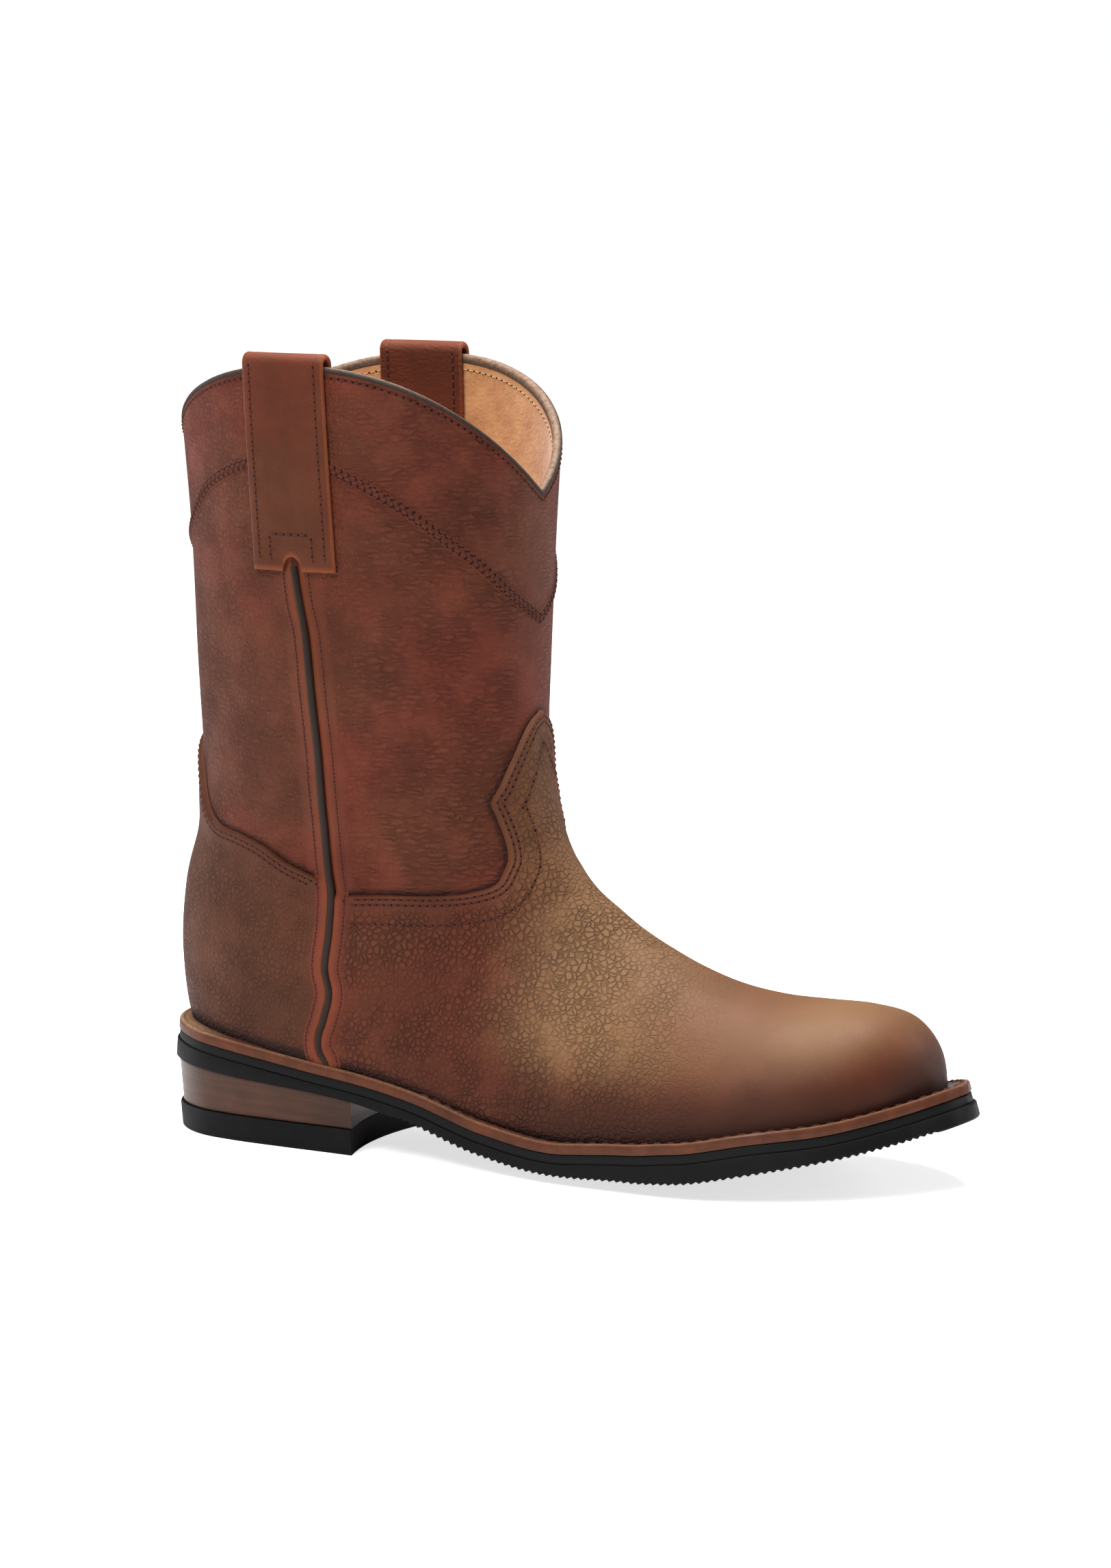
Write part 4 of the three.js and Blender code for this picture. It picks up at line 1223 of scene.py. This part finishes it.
def vamp():
    side = seam_side(6.32, -(piping_width / 2 + joint_gap))
    top = along_table(vamp_edge, 1.1)
    top = top[top[:, 1] > side[0, 1] + 0.5]
    half = np.vstack([top, side])
    edge = np.vstack([half[::-1], mirrored(half)[1:]])
    low = np.arange(side[-1, 0] + 0.05, toe_station, 0.05)
    foot = np.stack([low, seat_angle(low)], -1)
    foot = foot[(foot[:, 0] > 9.9) | (foot[:, 1] > side[-1, 1])]
    last = foot[-1, 1]
    toe = np.stack([np.full(9, toe_station), np.linspace(last, 360 - last, 9)], -1)
    lower = np.vstack([foot, toe, mirrored(foot)[::-1]])[::-1]
    grid = overlay_grid(3.55, toe_station - 0.05, 60, 300)
    points, faces, edge_gap = overlay(edge, lower, grid)
    x, y, z = points.T
    rise = z - seat_z(x)
    top_side = ease(rise, 18, 40)
    masks = {
        "pebble": (1 - ease(x, 170, 235)) * ease(edge_gap, 3, 8) * 0.85,
        # Olive tan of the oiled leather over the instep and toe, plus a painted highlight on the
        # toe's top
        "oil_and_highlight": top_side * (0.75 * ease(x, 126, 168) * (1 - 0.5 * ease(x, 175, 215))
                           + 0.3 * np.exp(-((x - 256) / 16) ** 2)),
        # Painted shade along the welt, low on the sides and at the toe's tip
        "painted_shade": np.clip(0.95 * (1 - ease(rise, 4.5, 9)) + 0.7 * (1 - ease(rise, 8, 32))
                        * ease(x, 110, 190) + 0.1 * ease(x, 270, 284), 0, 1),
        # Pale folded edge: partly wear, partly painted highlight
        "rub_and_highlight": 0.25 * (1 - ease(edge_gap, 0.2, 0.8)),
    }
    material = leather_material("Vamp leather", {"Leather": colour(95, 45, 27), "Cell": 470.0},
                                ["Pebble", "Oil_And_Highlight", "Painted_Shade", "Rub_And_Highlight"])
    piece = make_piece("vamp_leather", points, faces, material, masks)
    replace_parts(piece, "vamp")
    seen = np.vstack([top[::-1], mirrored(top)[1:]])
    sew("vamp_stitches", sewing_rows(seen, (1.5, 3.4, 10.2), 180, 82), thread)


counter()
vamp()

# Side seams
# Up each side the panels meet in a seam covered by a thin dark leather cord, with a smooth
# folded band of the panels' leather stitched flat on either side of it. The cord runs on
# between the counter and the vamp down to the welt.


def side_seams():
    half_width = piping_width / 2
    cord_height = 1.3
    step_up = 1.65
    stitch_column = 6
    turn = np.linspace(-1, 1, 13) * math.radians(100)
    cord_points = []
    cord_faces = []
    band_points = []
    band_faces = []
    stitch_lines = []
    # Distance from the seam and height of the band's points
    columns = np.array([1.1, 1.3, 1.7, 2.6, 3.6, 4.3, 4.9, 5.5, 5.9, 6.2])
    heights = np.array([-0.1, 0.3, 0.5, 0.55, 0.5, 0.35, 0.15, 0.3, 0.12, -0.12])
    for mirror in (False, True):
        line = along_table(seam_line, 0.8, mirror)
        point, down, turning, normal = surface(line[:, 0], line[:, 1])
        side = np.cross(unit(np.gradient(point, axis=0)), normal)
        lift = cord_height + half_width * np.cos(turn)
        place = (point[:, None] + side[:, None] * (half_width * np.sin(turn))[None, :, None]
                 + normal[:, None] * lift[None, :, None])
        cord_faces += (grid_faces(len(line), len(turn))
                       + sum(len(part) for part in cord_points)).tolist()
        cord_points.append(place.reshape(-1, 3))
        up = along_table(np.vstack([[[0.9, 88]], seam_line]), 1.0, mirror)
        for direction in (-1, 1):
            rows = [beside(up, direction * column) for column in columns]
            joint = 5.9 if (direction > 0) != mirror else 6.25
            strip = np.stack([
                on_upper(row, height + step_up * ease(row[:, 0], joint, joint + 0.12))
                for row, height in zip(rows, heights)], 1)
            band_faces += (grid_faces(len(strip), len(columns))
                           + sum(len(part) for part in band_points)).tolist()
            band_points.append(strip.reshape(-1, 3))
            normals = sewing_line(rows[stitch_column], 0.0)[1]
            stitch_lines.append((strip[:, stitch_column], normals))
    dark = leather_material(
        "Piping leather", {"Leather": colour(38, 26, 20), "Olive": colour(36, 27, 21),
                           "Pebble": 0.0}, [], 0.1, 0.08, 0.25)
    cord = make_piece("side_piping", np.vstack(cord_points), cord_faces, dark)
    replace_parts(cord, "piping_outer", "piping_inner")
    smooth = leather_material(
        "Seam band leather", {"Pebble": 0.1, "Rubbed_And_Highlight": colour(124, 62, 34)}, ["Rub_And_Highlight"], 0.25)
    points = np.vstack(band_points)
    rub_and_highlight = np.tile(0.42 * (1 - ease(columns, 2.2, 4.4)), len(points) // len(columns))
    make_piece("seam_bands", points, band_faces, smooth, {"rub_and_highlight": rub_and_highlight})
    sew("seam_stitches", stitch_lines, thread, pitch=2.9)


side_seams()

# Yoke seam
# A yoke of the same leather tops the shaft, pointed at the front and at the back. Its edge
# is folded over the panels and fixed by two rows of thread with a braid between them.


def yoke_seam():
    near = along_table(np.vstack([yoke_back[::-1], yoke_front]), 1.0)
    line = np.vstack([near, mirrored(near)[-2:0:-1]])
    line = np.vstack([line, line[:1] + [0, 360]])
    # Distance from the middle of the fold, height and rubbing of its points
    fold = np.array([
        [-2.1, -0.1, 0.0], [-1.9, 0.35, 0.15], [-1.4, 0.28, 0.05], [-0.8, 0.5, 0.0],
        [0, 0.6, 0.0], [0.8, 0.5, 0.0], [1.4, 0.28, 0.05], [1.9, 0.35, 0.15],
        [2.1, -0.1, 0.0],
    ])
    rows = [beside(line, distance) for distance in fold[:, 0]]
    strip = np.stack([on_upper(row, height) for row, height in zip(rows, fold[:, 1])], 1)
    material = leather_material("Yoke seam leather", {"Pebble": 0.0}, ["Rub_And_Highlight"], 0.2)
    make_piece("yoke_seam", strip.reshape(-1, 3), grid_faces(len(strip), len(fold)),
               material, {"rub_and_highlight": np.tile(fold[:, 2], len(strip))})
    zigzag_step = 1.4
    zigzag_width = 0.65
    lengths = run_length(strip[:, 4])
    at = np.arange(0, lengths[-1], zigzag_step)
    middle = read_off(at, lengths, line)
    swing = beside(middle, zigzag_width) - middle
    zigzag = middle + swing * np.where(np.arange(len(at)) % 2 == 0, 1, -1)[:, None]
    braid = sewing_line(zigzag, 0.6)
    pitch = run_length(braid[0])[-1] / (len(at) - 1)
    sew("yoke_braid", [braid], colour(80, 36, 25), pitch=pitch, length=1.8, width=0.7)
    sew("yoke_stitches", [sewing_line(rows[2], 0.3), sewing_line(rows[6], 0.3)],
        thread)


yoke_seam()

# Collar binding
# A strip of dark grey-brown leather folded over the scalloped top edge of the shaft and its
# lining. It is pale over the top and inner edge of its roll, partly rubbed and partly a
# painted highlight, and a row of thread runs just below it.


def collar_binding():
    stitch_drop = 0.8 / 42
    angles = even_angles(420)
    rim = rim_station(angles)
    # Distance out from the shaft's surface and height over the wall's top edge
    section = np.array([
        [-0.2, 0.7], [0.2, 0.75], [0.38, 1.1], [0.34, 1.7], [0.05, 2.25],
        [-0.6, 2.6], [-1.3, 2.7], [-2.0, 2.6], [-2.65, 2.2], [-2.95, 1.5], [-3.0, 0.6],
        [-2.95, -0.3], [-2.6, -0.5],
    ])
    rings = boot_point(rim[:, None], angles[:, None], section[None, :, 0])
    rings[..., 2] += section[:, 1]
    faces = grid_faces(len(angles) + 1, len(section))
    points = np.vstack([rings, rings[:1]]).reshape(-1, 3)
    # Paler over the top and inner side of the roll: partly rubbed, partly painted highlight
    rub_and_highlight = np.interp(np.arange(len(section)), [0, 4, 6, 8, 10, 12],
                    [0.0, 0.1, 0.8, 0.7, 0.35, 0.2])
    material = shader_material(
        "Binding leather", plain_look,
        {"Leather": colour(34, 27, 25), "Dark": colour(22, 16, 15),
         "Rubbed_And_Highlight": colour(160, 128, 104), "Mottle": 0.3}, 0.1, ["Rub_And_Highlight"])
    piece = make_piece("collar_edge", points, faces, material,
                       {"rub_and_highlight": np.tile(rub_and_highlight, len(angles) + 1)})
    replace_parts(piece, "collar_binding")
    around = np.append(angles, 360)
    line = np.stack([rim_station(around) + stitch_drop, around], -1)
    sew("collar_stitches", [sewing_line(line, 0.05)], thread)


collar_binding()

# Pull straps
# A folded strap of smooth oiled leather loops over the collar on each side, sewn flat to
# the shaft inside and out. Its lower end has a rounded notch over the piping and a small
# box of stitches above it.
strap_width = 32
strap_drop = 70
strap_thick = 2.2
strap_lean = 3.4
strap_end = collar_peak - strap_drop
piping_top = boot_point(2.2, 88)


def shaft_half_width(x, z, offset):
    """Distance of the shaft's surface from the middle plane at a given x and z."""
    station = bisect(0 * z, 0 * z + level_station,
                     lambda here: boot_point(here, 90)[..., 2] > z)
    angle = bisect(0 * x, 0 * x + 180,
                   lambda here: boot_point(station, here, offset)[..., 0] < x)
    return -boot_point(station, angle, offset)[..., 1]


def strap_point(side, x, z, offset):
    """Point on a strap, x measured from its middle line."""
    middle = piping_top[0] - strap_lean * (z - strap_end) / strap_drop
    place = np.stack(np.broadcast_arrays(middle + x, 0.0, z), -1)
    place[..., 1] = side * shaft_half_width(place[..., 0], place[..., 2], offset)
    return place


def pull_straps():
    half = strap_width / 2
    half_thick = strap_thick / 2
    outside = joint_gap + half_thick
    inside = -(wall + 0.6 + half_thick)
    radius = (outside - inside) / 2
    arch_z = collar_peak + 4 - half_thick - radius
    notch_half = 3.7
    notch_rise = 5
    sewn_at = half - 3.2
    box_half = 8.2
    box_top = 12.5
    across = np.unique(np.round(np.concatenate([
        np.linspace(-half + 0.9, half - 0.9, 19),
        notch_half * np.array([-1, -0.95, -0.8, -0.6, -0.3, 0, 0.3, 0.6, 0.8, 0.95, 1]),
        [-sewn_at - 0.5, -sewn_at, -sewn_at + 0.5, sewn_at - 0.5, sewn_at, sewn_at + 0.5]]), 2))
    dent = 0.18 * (np.abs(np.abs(across) - sewn_at) < 0.2)
    count = len(across)
    edge = np.array([[half - 0.3, 0.8], [half, 0], [half - 0.3, -0.8]])
    section = np.vstack([
        np.stack([across, half_thick - dent], -1), edge,
        np.stack([across[::-1], -half_thick + dent], -1),
        edge[::-1] * [-1, 1]])
    over, depth = section.T
    legs = np.linspace(0, 1, 34)
    arch = np.radians(np.linspace(0, 180, 17))[1:-1]
    notch = notch_rise * np.sqrt(np.clip(1 - (over / notch_half) ** 2, 0, 1))
    low = strap_end + notch * (np.abs(over) < notch_half)
    for side, name, cad_name in (
            (-1, "outer", "pull_strap_outer"), (1, "inner", "pull_strap_inner")):
        rings = [strap_point(side, over, low + (arch_z - low) * share, outside + depth)
                 for share in legs]
        rings += [strap_point(side, over, arch_z + (radius + depth) * math.sin(turn),
                              (outside + inside) / 2 + (radius + depth) * math.cos(turn))
                  for turn in arch]
        rings += [strap_point(side, over, strap_end + (arch_z - strap_end) * share + 0 * over,
                              inside - depth) for share in legs[::-1]]
        points = np.stack(rings)
        steps, columns = points.shape[:2]
        faces = grid_faces(steps, columns, closed=True).tolist()
        for first in (0, (steps - 1) * columns):
            for k in range(count - 1):
                back = first + count + 3 + (count - 1 - k)
                faces.append([first + k, first + k + 1, back - 1, back])
            right = first + count - 1
            faces.append([right, right + 1, right + 2, right + 3, right + 4])
            left = first + 2 * count + 2
            faces.append([left, left + 1, left + 2, left + 3, first])
        rub_and_highlight = np.where(np.abs(section[:, 0]) > half - 0.5, 0.5, 0.0)
        rub_and_highlight = np.tile(rub_and_highlight, (steps, 1))
        rub_and_highlight[[0, -1]] = 0.6
        bend = np.exp(-((np.arange(steps) - steps / 2) / 5) ** 2)[:, None]
        rub_and_highlight = np.clip(rub_and_highlight + 0.35 * bend, 0, 1)
        material = leather_material(
            "Strap leather " + name,
            {"Leather": colour(95, 43, 24), "Pebble": 0.2, "Wrinkle": 0.25}, ["Rub_And_Highlight"], 0.3)
        piece = make_piece("pull_strap_leather_" + name, points.reshape(-1, 3), faces, material,
                           {"rub_and_highlight": rub_and_highlight})
        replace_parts(piece, cad_name)
        face_out = outside + half_thick
        up = np.arange(strap_end + 3, arch_z + 1, 0.8)
        lines = []
        for offset, facing in ((face_out, 1), (inside - half_thick, -1)):
            for x in (-sewn_at, sewn_at):
                line = strap_point(side, x + 0 * up, up, offset + 0 * up)
                lines.append((line - [0, side * facing * 0.12, 0],
                              np.repeat([[0, side * facing, 0.0]], len(up), axis=0)))
        box_up = np.arange(strap_end + 2.5, strap_end + box_top + 0.1, 0.5)
        box_over = np.arange(-box_half, box_half + 0.1, 0.5)
        for x, z in ((-box_half + 0 * box_up, box_up), (box_half + 0 * box_up, box_up),
                     (box_over, strap_end + box_top + 0 * box_over)):
            line = strap_point(side, x, z, face_out + 0 * x)
            lines.append((line, np.repeat([[0, side, 0.0]], len(line), axis=0)))
        sew("pull_strap_stitches_" + name, lines, thread, pitch=2.9, length=2.0)


pull_straps()

# Floor, light and camera
# A white floor and white surroundings under soft light, seen from the photograph's side.


def studio():
    floor_radius = 6
    disc = bpy.data.meshes.new("floor")
    turn = np.linspace(0, 2 * np.pi, 97)[:-1]
    disc.from_pydata(
        (floor_radius * np.stack([np.cos(turn), np.sin(turn), 0 * turn], -1)).tolist(), [],
        [list(range(len(turn)))])
    floor = new_object("floor", disc)
    white = bpy.data.materials.new("White sweep")
    white.use_nodes = True
    tree = white.node_tree
    shader = tree.nodes["Principled BSDF"]
    for socket, value in (("Base Color", (0.9, 0.9, 0.9, 1)), ("Roughness", 0.9),
                          ("Specular IOR Level", 0.1), ("Emission Color", (1, 1, 1, 1))):
        shader.inputs[socket].default_value = value
    seen = add_node(tree, "LightPath").outputs["Is Camera Ray"]
    place = add_node(tree, "TexCoord").outputs["Object"]
    spread = add_node(tree, "VectorMath", {0: place}, operation="LENGTH").outputs["Value"]
    glow = combined(tree, "MULTIPLY", seen, ramp(tree, spread, 0.25, 0.9, 0.7, 1))
    tree.links.new(glow, shader.inputs["Emission Strength"])
    disc.materials.append(white)
    world = bpy.data.worlds.new("White room")
    bpy.context.scene.world = world
    world.use_nodes = True
    tree = world.node_tree
    background = tree.nodes["Background"]
    background.inputs["Color"].default_value = (1, 1, 1, 1)
    seen = add_node(tree, "LightPath").outputs["Is Camera Ray"]
    tree.links.new(ramp(tree, seen, 0, 1, 0.17, 1), background.inputs["Strength"])
    bpy.context.scene.view_settings.view_transform = "Standard"
    # Name, place, aim in metres, size, watts
    lamps = [
        ("top light", (-0.1, 0.1, 1.4), (0.02, 0, 0.05), 0.9, 36),
        ("key light", (0.0, -1.45, 1.45), (0, 0, 0.14), 0.6, 25),
        ("heel light", (-1.6, -0.1, 0.5), (0, 0, 0.12), 0.9, 9),
        ("far light", (1.3, 1.5, 0.8), (0, 0, 0.15), 0.9, 14),
    ]
    for name, place, aim, size, power in lamps:
        lamp = bpy.data.lights.new(name, "AREA")
        lamp.energy = power
        lamp.size = size
        back = np.array(place) - np.array(aim)
        new_object(name, lamp).matrix_world = looking(unit(back), 0, place)


def looking(back, roll, place):
    """Matrix of a camera or lamp whose view points against back."""
    right = unit(np.cross(-back, [0, 0, 1]))
    up = np.cross(right, -back)
    turned = right * math.cos(roll) + up * math.sin(roll)
    upright = up * math.cos(roll) - right * math.sin(roll)
    matrix = np.eye(4)
    matrix[:3, 0] = turned
    matrix[:3, 1] = upright
    matrix[:3, 2] = back
    matrix[:3, 3] = place
    return Matrix(matrix.tolist())


def camera():
    azimuth = math.radians(26.44)
    elevation = math.radians(7.84)
    roll = math.radians(0.37)
    distance = 1.77035
    target = np.array([-0.00364, -0.00049, 0.12992])
    back = np.array([math.sin(azimuth) * math.cos(elevation),
                     -math.cos(azimuth) * math.cos(elevation), math.sin(elevation)])
    eye = bpy.data.cameras.new("camera")
    eye.lens = 117.97
    holder = new_object("camera", eye)
    holder.matrix_world = looking(back, roll, target + back * distance)
    bpy.context.scene.camera = holder


studio()
camera()
